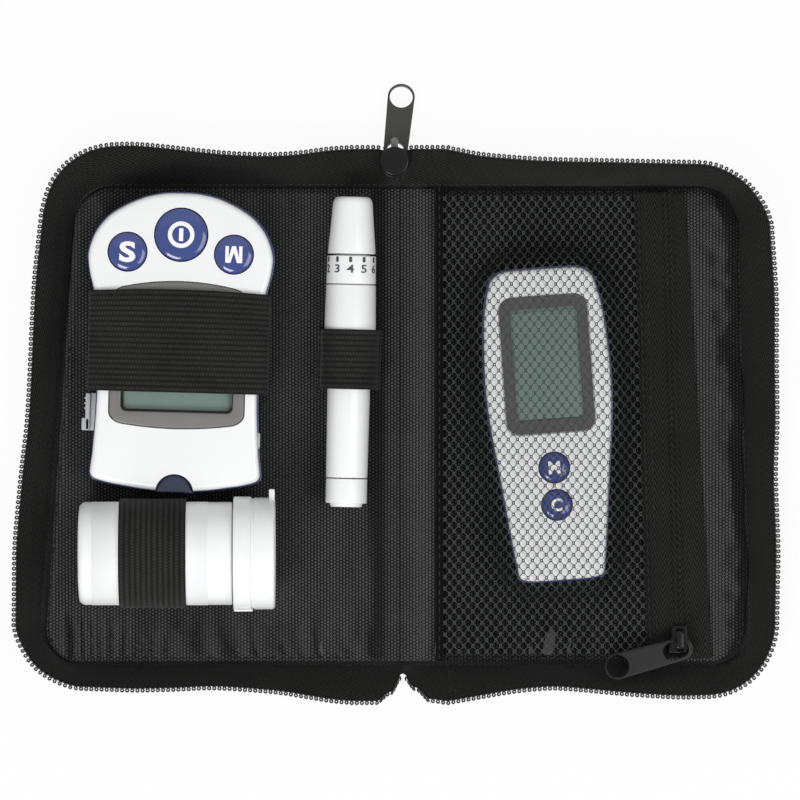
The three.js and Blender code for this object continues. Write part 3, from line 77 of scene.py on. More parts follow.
# Sizes of the case, as in the part's source
CLOTH = 0.8
BOARD = 1.6
LINING = 0.6
LAYER_GAP = 0.2
REST_GAP = 0.3
SPINE_WIDTH = 12.4
FOLD_RELIEF = 2
SEAM_RADIUS = 11
HEM = 1.6
LINING_INSET = 0.6
BOARD_INSET = 2.5
PANEL_WIDTH = 94.5
PANEL_LENGTH = 140.5
HEAD_Y = PANEL_LENGTH / 2
SPLAY = {LEFT: 9.7, RIGHT: 3.8}
RIM_FLARE = 10
# How far the rim stands out along each half: 0-1 head, 1-2 corner, 2-3 side, 3-4 corner, 4-5 foot
FLARES = {
    LEFT: [
        (0, 10), (0.1, 9.6), (0.2, 8.5), (0.3, 7.9), (0.4, 7.9), (0.5, 8.2), (0.6, 8.8), (0.7, 9.6),
        (0.8, 10.4), (0.92, 11.1), (1, 10.8), (1.27, 10.2), (1.57, 9.3), (1.8, 8.4), (2, 8.5),
        (2.13, 9), (2.25, 8.6), (2.4, 7.9), (2.5, 7.6), (2.62, 8.2), (2.8, 8.4), (3, 6.6), (3.26, 5.4),
        (3.75, 5), (4, 5.8), (4.2, 6.4), (4.37, 6.1), (4.46, 5.6), (4.55, 5.8), (4.73, 6.9),
        (4.83, 8.2), (4.92, 9.5), (5, 10),
    ],
    RIGHT: [
        (0, 10), (0.05, 9.1), (0.13, 7.9), (0.23, 7.3), (0.33, 6.7), (0.45, 6.4), (0.73, 6), (1, 5.6),
        (1.35, 5.6), (1.68, 6.8), (1.8, 7.6), (2, 9.1), (2.19, 9.9), (2.31, 9.3), (2.5, 8.9), (2.62, 7.8),
        (2.81, 8), (3, 6.8), (3.24, 6.6), (3.52, 7.1), (4, 8.2), (4.12, 8.5), (4.31, 7.6), (4.5, 6.2),
        (4.6, 5.6), (4.7, 6.2), (4.78, 7), (4.88, 8.4), (5, 10),
    ],
}
WALL_START = 8
WALL_BASE = 1
COIL_HALF_WIDTH = 1.5
FLOOR_Z = 3.7
SIDE_NAMES = {LEFT: "left", RIGHT: "right"}

# Closer than this is the same place, and a cutter runs this far past what it cuts
NEAR = 0.01
CUT_PAST = 2


# Materials

def shader_of(name):
    material = bpy.data.materials.new(name)
    material.use_nodes = True
    tree = material.node_tree
    return material, tree, tree.nodes["Principled BSDF"]


def node(tree, kind, **values):
    made = tree.nodes.new(kind)
    for key, value in values.items():
        if hasattr(made, key):
            setattr(made, key, value)
        else:
            made.inputs[key.replace("_", " ")].default_value = value
    return made


def maths(tree, operation, first, second=None):
    """A Math node on sockets or numbers, and its result."""
    made = tree.nodes.new("ShaderNodeMath")
    made.operation = operation
    for place, value in enumerate((first, second)):
        if value is None:
            continue
        if isinstance(value, (int, float)):
            made.inputs[place].default_value = value
        else:
            tree.links.new(value, made.inputs[place])
    return made.outputs[0]


def times(tree, first, second):
    return maths(tree, "MULTIPLY", first, second)


def plus(tree, first, second):
    return maths(tree, "ADD", first, second)


def cloud(tree, scale, detail=3):
    """Soft noise over the piece's own place, from 0 to 1."""
    place = node(tree, "ShaderNodeTexCoord")
    made = node(tree, "ShaderNodeTexNoise", Scale=scale, Detail=detail)
    tree.links.new(place.outputs["Object"], made.inputs["Vector"])
    return made.outputs["Fac"]


def tint(tree, shader, amount, dark, light):
    mix = node(tree, "ShaderNodeMix", data_type="RGBA")
    mix.inputs["A"].default_value = (*dark, 1)
    mix.inputs["B"].default_value = (*light, 1)
    tree.links.new(amount, mix.inputs["Factor"])
    tree.links.new(mix.outputs["Result"], shader.inputs["Base Color"])


def spread(tree, amount, low, high, target):
    made = node(tree, "ShaderNodeMapRange")
    made.inputs["To Min"].default_value = low
    made.inputs["To Max"].default_value = high
    tree.links.new(amount, made.inputs["Value"])
    tree.links.new(made.outputs["Result"], target)


def relief(tree, shader, height, depth):
    bump = node(tree, "ShaderNodeBump", Strength=1)
    bump.inputs["Distance"].default_value = depth * MM
    tree.links.new(height, bump.inputs["Height"])
    tree.links.new(bump.outputs["Normal"], shader.inputs["Normal"])


def shade(colour, share):
    return tuple(min(1, channel * share) for channel in colour)


# Scales of the noise for soft patches, for fuzz on threads and for a moulded skin
PATCHES = 60
FUZZ = 1400
SKIN = 2200
PATCH_SWING = 1.1
FUZZ_SWING = 0.9
GLOSS_SWING = 0.15
COAT_ROUGHNESS = 0.08
SHEEN_ROUGHNESS = 0.4
CLOTH_ROUGHNESS = 0.85
CLOTH_SHINE = 0.1


def moulded(name, colour, roughness, grain=0.004, coat=0, metallic=0, mottle=0.04, shine=0.5):
    """Moulded plastic or lacquered metal with a fine skin."""
    material, tree, shader = shader_of(name)
    shader.inputs["Specular IOR Level"].default_value = shine
    shader.inputs["Metallic"].default_value = metallic
    shader.inputs["Coat Weight"].default_value = coat
    shader.inputs["Coat Roughness"].default_value = COAT_ROUGHNESS
    soft = cloud(tree, PATCHES)
    tint(tree, shader, soft, shade(colour, 1 - mottle), shade(colour, 1 + mottle))
    duller, glossier = roughness * (1 + GLOSS_SWING), roughness * (1 - GLOSS_SWING)
    spread(tree, soft, glossier, duller, shader.inputs["Roughness"])
    relief(tree, shader, cloud(tree, SKIN, 2), grain)
    return material


def flow(tree):
    """The cloth's own places along its length and across it, in millimetres."""
    place = node(tree, "ShaderNodeUVMap", uv_map="cloth")
    split = node(tree, "ShaderNodeSeparateXYZ")
    tree.links.new(place.outputs["UV"], split.inputs[0])
    return split.outputs["X"], split.outputs["Y"]


def wave(tree, value, pitch):
    return maths(tree, "SINE", times(tree, value, 2 * math.pi / pitch))


def about_one(tree, amount, swing):
    """Noise from 0 to 1 as a factor that swings about one."""
    return plus(tree, times(tree, amount, swing), 1 - swing / 2)


def cloth_finish(name, colour, pattern, depth, contrast, sheen=0.08, dark=0.45, light=1.75, folds=""):
    """Cloth whose threads follow a pattern made from its places along and across."""
    material, tree, shader = shader_of(name)
    shader.inputs["Sheen Weight"].default_value = sheen
    shader.inputs["Sheen Roughness"].default_value = SHEEN_ROUGHNESS
    shader.inputs["Roughness"].default_value = CLOTH_ROUGHNESS
    shader.inputs["Specular IOR Level"].default_value = CLOTH_SHINE
    threads = pattern(tree, *flow(tree))
    lifted = times(tree, plus(tree, threads, 1), 0.5)
    shown = plus(tree, times(tree, lifted, contrast), 0.5 - contrast / 2)
    fuzz = about_one(tree, cloud(tree, FUZZ, 2), FUZZ_SWING)
    uneven = times(tree, about_one(tree, cloud(tree, PATCHES, 4), PATCH_SWING), fuzz)
    amount = times(tree, shown, uneven)
    # Painted light and shade on the folds, read from a point attribute
    if folds:
        painted_light = node(tree, "ShaderNodeAttribute", attribute_name=folds)
        amount = times(tree, amount, painted_light.outputs["Fac"])
    tint(tree, shader, maths(tree, "MINIMUM", amount, 1), shade(colour, dark), shade(colour, light))
    relief(tree, shader, plus(tree, lifted, fuzz), depth)
    return material


def plain_weave(along_pitch, across_pitch, columns=0.38):
    """Staggered threads, with a faint column through each row of them."""
    def pattern(tree, along, across):
        staggered = times(tree, wave(tree, along, along_pitch), wave(tree, across, across_pitch))
        shifted = plus(tree, across, -across_pitch / 8)
        column = times(tree, wave(tree, shifted, across_pitch / 2), columns)
        return plus(tree, times(tree, staggered, 1 - columns), column)
    return pattern


# Places across the lining that the net covers, and how much painted shade there evens and darkens its threads
UNDER_NET = (11.4, 79)
NET_SHADE_EVENS = 0.72
NET_PAINTED_SHADE = 0.36


def painted_shade_under(low, high, pattern):
    """The same threads, dimmed and evened by painted shade between two places across, where a net lies over
    them.
    """
    def dimmed(tree, along, across):
        threads = pattern(tree, along, across)
        past_low = maths(tree, "GREATER_THAN", across, low)
        inside = times(tree, past_low, maths(tree, "LESS_THAN", across, high))
        change = plus(tree, times(tree, threads, -NET_SHADE_EVENS), -NET_PAINTED_SHADE)
        return plus(tree, threads, times(tree, change, inside))
    return dimmed


def herringbone(along_pitch, across_pitch, column):
    def pattern(tree, along, across):
        zigzag = times(tree, maths(tree, "PINGPONG", across, column), along_pitch / across_pitch)
        return wave(tree, plus(tree, along, zigzag), along_pitch)
    return pattern


RIB_CROWN = 0.6
RIB_DASHES = 0.45
RIB_VALLEY = 1.25


def ribbed(dash):
    """Ribs that lie a whole number apart across, knitted in dashes along."""
    def pattern(tree, along, across):
        rib = maths(tree, "SINE", times(tree, across, math.pi))
        crown = plus(tree, times(tree, maths(tree, "ABSOLUTE", rib), 2), -RIB_VALLEY)
        dashes = times(tree, wave(tree, along, dash), rib)
        return plus(tree, times(tree, crown, RIB_CROWN), times(tree, dashes, RIB_DASHES))
    return pattern


CLOTH_BLACK = (0.0145, 0.015, 0.0155)
TAPE_BLACK = (0.0112, 0.0118, 0.0106)
LINING_BLACK = (0.0185, 0.019, 0.0185)
ELASTIC_BLACK = (0.0104, 0.0105, 0.01)
WHITE = (0.86, 0.865, 0.87)
NAVY = (0.009, 0.018, 0.11)

shell_cloth = cloth_finish("shell_cloth", CLOTH_BLACK, plain_weave(0.7, 1.3), 0.12, 0.7)
# The lining's threads are dimmed by painted shade where the net lies over them
lining_weave = painted_shade_under(*UNDER_NET, plain_weave(0.98, 1.88))
# The lining's thread crowns are painted up to four times lighter: partly its own weave, partly painted
# highlights
lining_cloth = cloth_finish(
    "lining_cloth", LINING_BLACK, lining_weave, 0.3, 2.2, sheen=0.03, dark=0.1, light=4, folds="painted_fold_light")
zip_weave = herringbone(1.9, 0.83, 2.5)
zip_cloth = cloth_finish("zip_cloth", TAPE_BLACK, zip_weave, 0.1, 0.9, dark=0.3, light=1.9)
elastic_cloth = cloth_finish("elastic_cloth", ELASTIC_BLACK, ribbed(0.9), 0.16, 1, dark=0.12, light=3)
stitch_thread = cloth_finish("stitch_thread", (0.02, 0.02, 0.021), plain_weave(0.4, 0.4), 0.03, 0.3)
net_thread = moulded("net_thread", (0.034, 0.0365, 0.0365), 0.6, grain=0.02, mottle=0.3, shine=0.3)
board_foam = moulded("board_foam", (0.05, 0.05, 0.05), 0.9, grain=0.05)
coil_nylon = moulded("coil_nylon", (0.008, 0.008, 0.0085), 0.32, mottle=0.2)
black_lacquer = moulded("black_lacquer", (0.004, 0.004, 0.0045), 0.22, coat=0.08, mottle=0.2, shine=0.14)
# The main pull's black lacquer, painted lighter as a painted reflection of the white surroundings
pull_lacquer_painted_reflection = moulded("pull_lacquer_painted_reflection", (0.03, 0.03, 0.028), 0.42, coat=0.08, mottle=0.12, shine=0.35)
dark_pull_lacquer = moulded(
    "dark_pull_lacquer", (0.0065, 0.007, 0.0065), 0.36, coat=0.05, mottle=0.2, shine=0.12)
# Lighter grey lacquer for the main slider's lip
pale_lacquer = moulded("pale_lacquer", (0.14, 0.14, 0.135), 0.3, coat=0.3, mottle=0.2)
white_plastic = moulded("white_plastic", WHITE, 0.32, coat=0.2, mottle=0.012)
label_paper = moulded("label_paper", (0.85, 0.855, 0.86), 0.45, mottle=0.015)
navy_plastic = moulded("navy_plastic", NAVY, 0.22, coat=0.4, mottle=0.06)
navy_key = moulded("navy_key", (0.012, 0.037, 0.21), 0.1, coat=0.4, mottle=0.04)
# Navy darkened by painted shade, for the strip port's recessed mouth
port_navy_painted_shade = moulded("port_navy_painted_shade", (0.012, 0.018, 0.055), 0.3, mottle=0.06)
bezel_grey = moulded("bezel_grey", (0.158, 0.154, 0.15), 0.32, mottle=0.03)
pale_grey = moulded("pale_grey", (0.5, 0.52, 0.54), 0.45, mottle=0.03)
print_white = moulded("print_white", (0.9, 0.9, 0.9), 0.4, mottle=0.01)
print_grey = moulded("print_grey", (0.045, 0.045, 0.05), 0.5, mottle=0.05)
display_glass = moulded("display_glass", (0.31, 0.44, 0.39), 0.25, mottle=0.05)
board_green = moulded("board_green", (0.01, 0.1, 0.03), 0.5, mottle=0.1)
pad_rubber = moulded("pad_rubber", (0.14, 0.15, 0.16), 0.8, mottle=0.05)
bright_steel = moulded("bright_steel", (0.6, 0.61, 0.62), 0.28, metallic=1, mottle=0.05)
strip_plastic = moulded("strip_plastic", (0.6, 0.66, 0.7), 0.4, mottle=0.05)


CLEAR_TINT = (0.02, 0.03, 0.03, 1)
CLEAR_ALPHA = 0.16


def clear_sheet(name):
    """Thin clear plastic."""
    material, tree, shader = shader_of(name)
    shader.inputs["Base Color"].default_value = CLEAR_TINT
    shader.inputs["Alpha"].default_value = CLEAR_ALPHA
    spread(tree, cloud(tree, 30), 0.04, 0.09, shader.inputs["Roughness"])
    relief(tree, shader, cloud(tree, 300, 2), 0.002)
    return material


clear_window = clear_sheet("clear_window")


# Making and finishing pieces

def settle(piece, where=(0, 0, 0), turn=0):
    """Moves a piece made about its own middle to its place, and keeps that place in its mesh."""
    spot = Matrix.Translation(Vector(where) * MM) @ Matrix.Rotation(turn, 4, "Z")
    piece.data.transform(spot @ piece.matrix_world)
    piece.matrix_world = Matrix.Identity(4)
    return piece


def finish(piece, name, material, body=None, stands_for=(), angle=38):
    """Names a piece, gives it its finish and hangs it on its body."""
    piece.name = name
    piece.data.name = name
    piece.data.materials.clear()
    piece.data.materials.append(material)
    if angle:
        only(piece)
        bpy.ops.object.shade_smooth_by_angle(angle=math.radians(angle))
    if stands_for:
        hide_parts(*stands_for)
    if body:
        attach(piece, body)
    return piece


def only(piece):
    bpy.ops.object.select_all(action="DESELECT")
    piece.select_set(True)
    bpy.context.view_layer.objects.active = piece


def edit(piece, *steps):
    """Runs steps of edit mode on a piece whose wanted parts are already selected."""
    only(piece)
    bpy.ops.object.mode_set(mode="EDIT")
    for step in steps:
        step()
    bpy.ops.object.mode_set(mode="OBJECT")


def select_all():
    bpy.ops.mesh.select_all(action="SELECT")


def face_outwards():
    bpy.ops.mesh.normals_make_consistent(inside=False)


def pick_edges(piece, wanted):
    """Selects the edges whose two ends pass a test."""
    mesh = piece.data
    for group in (mesh.vertices, mesh.edges, mesh.polygons):
        group.foreach_set("select", [False] * len(group))
    for edge in mesh.edges:
        edge.select = wanted(*(mesh.vertices[i].co / MM for i in edge.vertices))
        if edge.select:
            for i in edge.vertices:
                mesh.vertices[i].select = True
    bpy.context.tool_settings.mesh_select_mode = (False, True, False)


def round_off(piece, size, segments, wanted):
    pick_edges(piece, wanted)
    bevel = {"offset": size * MM, "segments": segments, "affect": "EDGES", "clamp_overlap": True}
    edit(piece, lambda: bpy.ops.mesh.bevel(**bevel))


def plate(outline, low, high, top=0.3, foot=0.3, segments=3):
    """A plate with an outline of points, its upper and lower edges rounded."""
    bpy.ops.object.select_all(action="DESELECT")
    bpy.ops.mesh.primitive_circle_add(vertices=len(outline), radius=MM, fill_type="NGON")
    piece = bpy.context.object
    for vertex, (x, y) in zip(piece.data.vertices, outline):
        vertex.co = (x * MM, y * MM, low * MM)
    lift = {"value": (0, 0, (high - low) * MM)}
    rise = lambda: bpy.ops.mesh.extrude_region_move(TRANSFORM_OT_translate=lift)
    edit(piece, select_all, rise, select_all, face_outwards)
    if top:
        round_off(piece, top, segments, lambda a, b: min(a.z, b.z) > high - NEAR)
    if foot:
        round_off(piece, foot, segments, lambda a, b: max(a.z, b.z) < low + NEAR)
    return piece


def sharp_plate(outline, low, high):
    """A plate with sharp edges, thin or to cut with."""
    return plate(outline, low, high, top=0, foot=0)


def arc(x, y, radius, start, end, steps=10):
    turns = [start + (end - start) * i / steps for i in range(steps + 1)]
    return [(x + radius * math.cos(a), y + radius * math.sin(a)) for a in turns]


def rounded_box(width, length, radius, x=0, y=0, steps=8):
    w, l = width / 2 - radius, length / 2 - radius
    quarter = math.pi / 2
    corners = [(w, -l, -1), (w, l, 0), (-w, l, 1), (-w, -l, 2)]
    return [
        point
        for cx, cy, turn in corners
        for point in arc(x + cx, y + cy, radius, turn * quarter, (turn + 1) * quarter, steps)
    ]


JOIN_WITHIN = 0.001


def turned(profile, steps=56):
    """A body turned about Z from a closed profile of radius and height."""
    mesh = bpy.data.meshes.new("turned")
    points = [(radius * MM, 0, height * MM) for radius, height in profile]
    mesh.from_pydata(points, [(i, i + 1) for i in range(len(points) - 1)], [])
    piece = added("turned", mesh)
    once = {"angle": 2 * math.pi, "center": (0, 0, 0), "axis": (0, 0, 1)}
    spin = lambda: bpy.ops.mesh.spin(steps=steps, **once)
    join = lambda: bpy.ops.mesh.remove_doubles(threshold=JOIN_WITHIN * MM)
    edit(piece, select_all, spin, select_all, join, face_outwards)
    return piece


CORNER_SHARE = 0.45


def softened(profile, radius=0.25, steps=3):
    """A profile with its corners rounded, except where it meets the axis."""
    points = [Vector(p) for p in profile]
    out = []
    for i, point in enumerate(points):
        if i in (0, len(points) - 1) or point.x == 0:
            out.append(tuple(point))
            continue
        before, after = points[i - 1] - point, points[i + 1] - point
        reach = min(radius, before.length * CORNER_SHARE, after.length * CORNER_SHARE)
        start = point + before.normalized() * reach
        end = point + after.normalized() * reach
        for k in range(steps + 1):
            t = k / steps
            out.append(tuple(start.lerp(point, t).lerp(point.lerp(end, t), t)))
    return out


def bored(piece, *cutters):
    """Cuts other pieces out of a piece."""
    for cutter in cutters:
        modifier = piece.modifiers.new("bore", "BOOLEAN")
        modifier.operation = "DIFFERENCE"
        modifier.solver = "EXACT"
        modifier.object = cutter
        only(piece)
        bpy.ops.object.modifier_apply(modifier=modifier.name)
        bpy.data.objects.remove(cutter)
    return piece


def together(first, *others):
    """Joins separate shapes into one object."""
    bpy.ops.object.select_all(action="DESELECT")
    for other in others:
        other.select_set(True)
    first.select_set(True)
    bpy.context.view_layer.objects.active = first
    bpy.ops.object.join()
    return first


def smooth_faces(mesh):
    for face in mesh.polygons:
        face.use_smooth = True


def thickened(piece, thick, even=False):
    solid = piece.modifiers.new("thickness", "SOLIDIFY")
    solid.thickness = thick * MM
    solid.offset = 0
    solid.use_even_offset = even
    return piece


def cloth(name, rows, thick, across, along=None, even=True):
    """A cloth surface through rows of points, with its own places along and across in its UV map."""
    count = len(rows[0])
    points = [Vector(p) for row in rows for p in row]
    firsts = [r * count + i for r in range(len(rows) - 1) for i in range(count - 1)]
    mesh = bpy.data.meshes.new(name)
    mesh.from_pydata([p * MM for p in points], [], [(a, a + 1, a + 1 + count, a + count) for a in firsts])
    if not along:
        middle, here, along = count // 2, 0, []
        for r, row in enumerate(rows):
            here += math.dist(rows[r - 1][middle], row[middle]) if r else 0
            along.append([here] * count)
    places = [(u, v) for us, vs in zip(along, across) for u, v in zip(us, vs)]
    layer = mesh.uv_layers.new(name="cloth")
    for loop in mesh.loops:
        layer.data[loop.index].uv = places[loop.vertex_index]
    smooth_faces(mesh)
    return thickened(added(name, mesh), thick, even)


def ripple(x, y, size, height, seed):
    return height * noise.noise(Vector((x / size, y / size, seed)))


def as_mesh(name, curve):
    only(added(name, curve))
    bpy.ops.object.convert(target="MESH")
    return bpy.context.object


def wire(points, radius, name, sides=2):
    """A thread or wire along points, as a mesh."""
    curve = bpy.data.curves.new(name, "CURVE")
    curve.dimensions = "3D"
    curve.bevel_depth = radius * MM
    curve.bevel_resolution = sides
    curve.use_fill_caps = True
    line = curve.splines.new("POLY")
    line.points.add(len(points) - 1)
    for spot, point in zip(line.points, points):
        spot.co = (*(Vector(point) * MM), 1)
    return as_mesh(name, curve)


def row_of(name, pattern, spots):
    """One mesh of many copies of a small pattern piece, each at a spot of place and direction."""
    verts = [v.co.copy() for v in pattern.data.vertices]
    faces = [tuple(f.vertices) for f in pattern.data.polygons]
    points, all_faces = [], []
    for place, along, up in spots:
        along, up = Vector(along).normalized(), Vector(up).normalized()
        side = up.cross(along).normalized()
        up = along.cross(side)
        turn = Matrix((along, side, up)).transposed()
        base = len(points)
        points.extend(turn @ v + Vector(place) * MM for v in verts)
        all_faces.extend(tuple(base + i for i in face) for face in faces)
    mesh = bpy.data.meshes.new(name)
    mesh.from_pydata(points, [], all_faces)
    mesh.uv_layers.new(name="cloth")
    bpy.data.objects.remove(pattern)
    smooth_faces(mesh)
    return added(name, mesh)


STITCH = (1.9, 0.5, 0.4)
STITCH_PITCH = 2.7


def stitch():
    """One stitch: a bead drawn out to the stitch's length, width and height."""
    bpy.ops.object.select_all(action="DESELECT")
    bpy.ops.mesh.primitive_uv_sphere_add(segments=8, ring_count=5, radius=MM / 2)
    bead = bpy.context.object
    edit(bead, select_all, lambda: bpy.ops.transform.resize(value=STITCH))
    return bead


def stepped(line, pitch, start=0.0):
    """Places every pitch along a line of points, each with the way along."""
    line = [Vector(p) for p in line]
    spots, travelled, wanted = [], 0.0, start
    for a, b in zip(line, line[1:]):
        size = (b - a).length
        if size == 0:
            continue
        while wanted <= travelled + size:
            t = (wanted - travelled) / size
            spots.append((a.lerp(b, t), (b - a).normalized()))
            wanted += pitch
        travelled += size
    return spots


def stitches(name, line, body):
    """A row of stitches along a line, face up."""
    spots = [(place, way, (0, 0, 1)) for place, way in stepped(line, STITCH_PITCH, STITCH_PITCH / 2)]
    return finish(row_of(name, stitch(), spots), name, stitch_thread, body, angle=0)


# The case: its two halves and the spine between them

def seam_width(side, y):
    return PANEL_WIDTH - SPLAY[side] * y / PANEL_LENGTH


def to_x(side, u):
    return side * (SPINE_WIDTH / 2 + u)


def panel_reach(side, y, grow):
    """How far a panel reaches from its fold line at a height of the picture, its corners rounded."""
    end, radius = HEAD_Y + grow, SEAM_RADIUS + grow
    into = max(abs(y) - (end - radius), 0)
    lost = radius - math.sqrt(max(radius * radius - into * into, 0))
    edge = seam_width(side, max(-HEAD_Y, min(HEAD_Y, y))) + grow
    return edge - lost


def panel_rows(side, grow, start, height, columns=40, rows=66):
    """Rows of points over a panel, from the line u = start out to its seam."""
    end = HEAD_Y + grow
    out = []
    for r in range(rows + 1):
        y = -end * math.cos(math.pi * r / rows)
        reach = panel_reach(side, y, grow)
        row = []
        for c in range(columns + 1):
            share = math.sin(math.pi / 2 * c / columns)
            u = start + (reach - start) * share
            inside = min((reach - u), end - abs(y))
            row.append((to_x(side, u), y, height(to_x(side, u), y, max(inside, 0))))
        out.append(row)
    return out


def grid_uv(rows):
    """The places of a flat panel's points, so that its weave runs straight."""
    return [[p[0] for p in row] for row in rows], [[p[1] for p in row] for row in rows]


def panel_cloth(name, rows, thick, even=True):
    across, along = grid_uv(rows)
    return cloth(name, rows, thick, across, along, even)


def smooth(t):
    t = max(0.0, min(1.0, t))
    return t * t * (3 - 2 * t)


def flat_area(rows):
    total = 0
    for low, high in zip(rows, rows[1:]):
        for a, b, c, d in zip(low, low[1:], high[1:], high):
            total += abs((c[0] - a[0]) * (d[1] - b[1]) - (d[0] - b[0]) * (c[1] - a[1])) / 2
    return total * MM * MM


def extent(rows):
    xs = [p[0] for row in rows for p in row]
    ys = [p[1] for row in rows for p in row]
    return (max(xs) - min(xs)) * MM, (max(ys) - min(ys)) * MM


def declare_panel(rows):
    width, length = extent(rows)
    flat_area(rows)


FOLD_REACH = 3


def bend_over_fold(piece, side):
    """Keeps cloth that crosses a fold where it lies, with its place baked into its mesh."""
    half_end = Vector((to_x(side, FOLD_REACH), 0, CLOTH)) * MM
    spine_end = Vector((to_x(side, -FOLD_REACH), 0, CLOTH)) * MM
    if side == LEFT:
        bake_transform(piece)
    else:
        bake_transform(piece)


# Places of the net pocket on the right half
POCKET_ZIP_MARGIN = 20
POCKET_TAPE = 0.7
POCKET_TAPE_WIDTH = 8
POCKET_OUTER_HEAD = 5
POCKET_OUTER_FOOT = 9.4
POCKET_COIL = 3
POCKET_TAPE_Z = FLOOR_Z + POCKET_TAPE / 2
POCKET_END_GAP = 1.6
POCKET_END = HEAD_Y - POCKET_END_GAP
NET_LAP = 2
NET_START = 11.0
NET_Z = 5.0
NET_RISE = 13.8
NET_SLOPE = 6

# Ripples in the cloth, each by its size across, its height and its seed
COVER_RIPPLE = (14, 0.12, 0)
LINING_SWELL = (17, 0.7, 2)
LINING_CREASE = (6, 0.24, 5)
SPINE_CREASE = (7, 0.3, 9)
PILLOW_CREASE = (5, 0.6, 21)
WALL_SWELL = (11, 0.75, 3)
WALL_CREASE = (4.5, 0.2, 4)
INNER_TAPE_RIPPLE = (16, 0.16, 5)
OUTER_TAPE_RIPPLE = (14, 0.16, 6)
HEM_RIPPLE = (9, 0.1, 8)


def zip_x(y):
    return to_x(RIGHT, seam_width(RIGHT, y) - POCKET_ZIP_MARGIN)


def net_end(y):
    return zip_x(y) - POCKET_COIL / 2 - REST_GAP - POCKET_TAPE_WIDTH + NET_LAP


def outer_tape_end(y):
    middle = (POCKET_OUTER_HEAD + POCKET_OUTER_FOOT) / 2
    return zip_x(y) + middle - (POCKET_OUTER_FOOT - POCKET_OUTER_HEAD) / PANEL_LENGTH * y


COVER_TURN_UP = 0.7
COVER_TURN_UP_WIDTH = 2.2
COVER_LIFT = 0.02


def cover_height(x, y, inside):
    """The outer cloth lies flat and turns up at its seam."""
    turned_up = COVER_TURN_UP * smooth(1 - inside / COVER_TURN_UP_WIDTH)
    return CLOTH / 2 + turned_up + COVER_LIFT + abs(ripple(x, y, *COVER_RIPPLE))


LINING_Z = CLOTH + LAYER_GAP + BOARD + LAYER_GAP + LINING / 2
SPINE_LINING_Z = CLOTH + LAYER_GAP + LINING / 2
BOARD_STEP_START = 4.4
BOARD_STEP = 4.6
TUCK_DEPTH = 1.1
TUCK_WIDTH = 1.8
SOFT_SHARE = 0.75
CREASE_LENGTH_SHARE = 0.45
SPINE_CREASE_X = 8
SPINE_CREASE_REACH = 9
SPINE_CREASE_SHARES = (1.6, 0.25)

# The folds that the seams at the head and the foot gather
HEAD_GATHERS = 0.35
FOOT_GATHERS = 0.95
GATHERS_REACH = 20
GATHERS_FADE = 4
GATHERS_TURN = 0.62
GATHERS_WANDER = 5
GATHERS_WANDER_ACROSS = 13
GATHERS_WANDER_ALONG = 60
GATHERS_LEAN = 0.05
GATHERS_LEAN_ACROSS = 9
GATHERS_SHARPNESS = 0.8
GATHERS_FROM_TAPE = 4
GATHERS_TAPE_FADE = 3
# How strongly a fold's slope paints light and shade on the lining, over the halves and on the right pillow
FOLD_PAINTED_LIGHT = 2.4
PILLOW_PAINTED_LIGHT = 1.3


def gathers(x, y):
    """Folds that run in from the head and the foot, and fade before the pocket's tape."""
    to_end = HEAD_Y - abs(y)
    drawn = FOOT_GATHERS if y < 0 else HEAD_GATHERS
    spot = Vector((x / GATHERS_WANDER_ACROSS, y / GATHERS_WANDER_ALONG, 4))
    wander = GATHERS_WANDER * noise.noise(spot) + GATHERS_LEAN * y * math.sin(x / GATHERS_LEAN_ACROSS)
    fold = 1 - 2 * abs(math.sin(x * GATHERS_TURN + wander)) ** GATHERS_SHARPNESS
    beside_tape = 1 - smooth((x - net_end(y) + GATHERS_FROM_TAPE) / GATHERS_TAPE_FADE)
    return drawn * fold * smooth(1 - to_end / GATHERS_REACH) * smooth(to_end / GATHERS_FADE) * beside_tape


def lining_height(x, y, inside):
    """The lining lies on the board, dips over the spine and tucks down at its seam."""
    over_board = smooth((abs(x) - BOARD_STEP_START) / BOARD_STEP)
    z = SPINE_LINING_Z + (LINING_Z - SPINE_LINING_Z) * over_board
    tucked = smooth(1 - inside / TUCK_WIDTH) * TUCK_DEPTH * over_board
    soft = ripple(x, y, *LINING_SWELL) + ripple(x, y * CREASE_LENGTH_SHARE, *LINING_CREASE)
    across, along = SPINE_CREASE_SHARES
    beside_spine = smooth(1 - abs(abs(x) - SPINE_CREASE_X) / SPINE_CREASE_REACH)
    near_spine = ripple(x * across, y * along, *SPINE_CREASE) * beside_spine
    return z - tucked + near_spine + (soft * SOFT_SHARE + gathers(x, y)) * over_board + side_pillow(x, y)


PILLOW_HEIGHT = 3.12
PILLOW_LEAST = 2
PILLOW_END = 9
PILLOW_RISE_SHARE = 0.5
PILLOW_FALL_SHARE = 0.35
PILLOW_WAVE = 0.4
WAVE_ALONG = 6.4
WAVE_ACROSS = 4
WAVE_WANDER = 1.4
WAVE_WANDER_ALONG = 13


def side_pillow(x, y):
    """The right lining bulges between the pocket's zip tape and the wall."""
    near = outer_tape_end(y) + REST_GAP
    far = to_x(RIGHT, panel_reach(RIGHT, y, -LINING_INSET))
    if x < near or far - near < PILLOW_LEAST:
        return 0
    across = (x - near) / (far - near)
    turn = y / WAVE_ALONG + x / WAVE_ACROSS + WAVE_WANDER * math.sin(y / WAVE_WANDER_ALONG)
    folds = 1 + PILLOW_WAVE * math.sin(turn) + ripple(x, y, *PILLOW_CREASE)
    ends = smooth((HEAD_Y - abs(y)) / PILLOW_END)
    swell = smooth(across / PILLOW_RISE_SHARE) * smooth((1 - across) / PILLOW_FALL_SHARE)
    return PILLOW_HEIGHT * swell * folds * ends


BULGE = 0.6
BULGE_SWING = 0.75
BULGE_PITCH = 5.3
BULGE_LONG_PITCH = 17
BULGE_START = 6
BULGE_FADE = 8


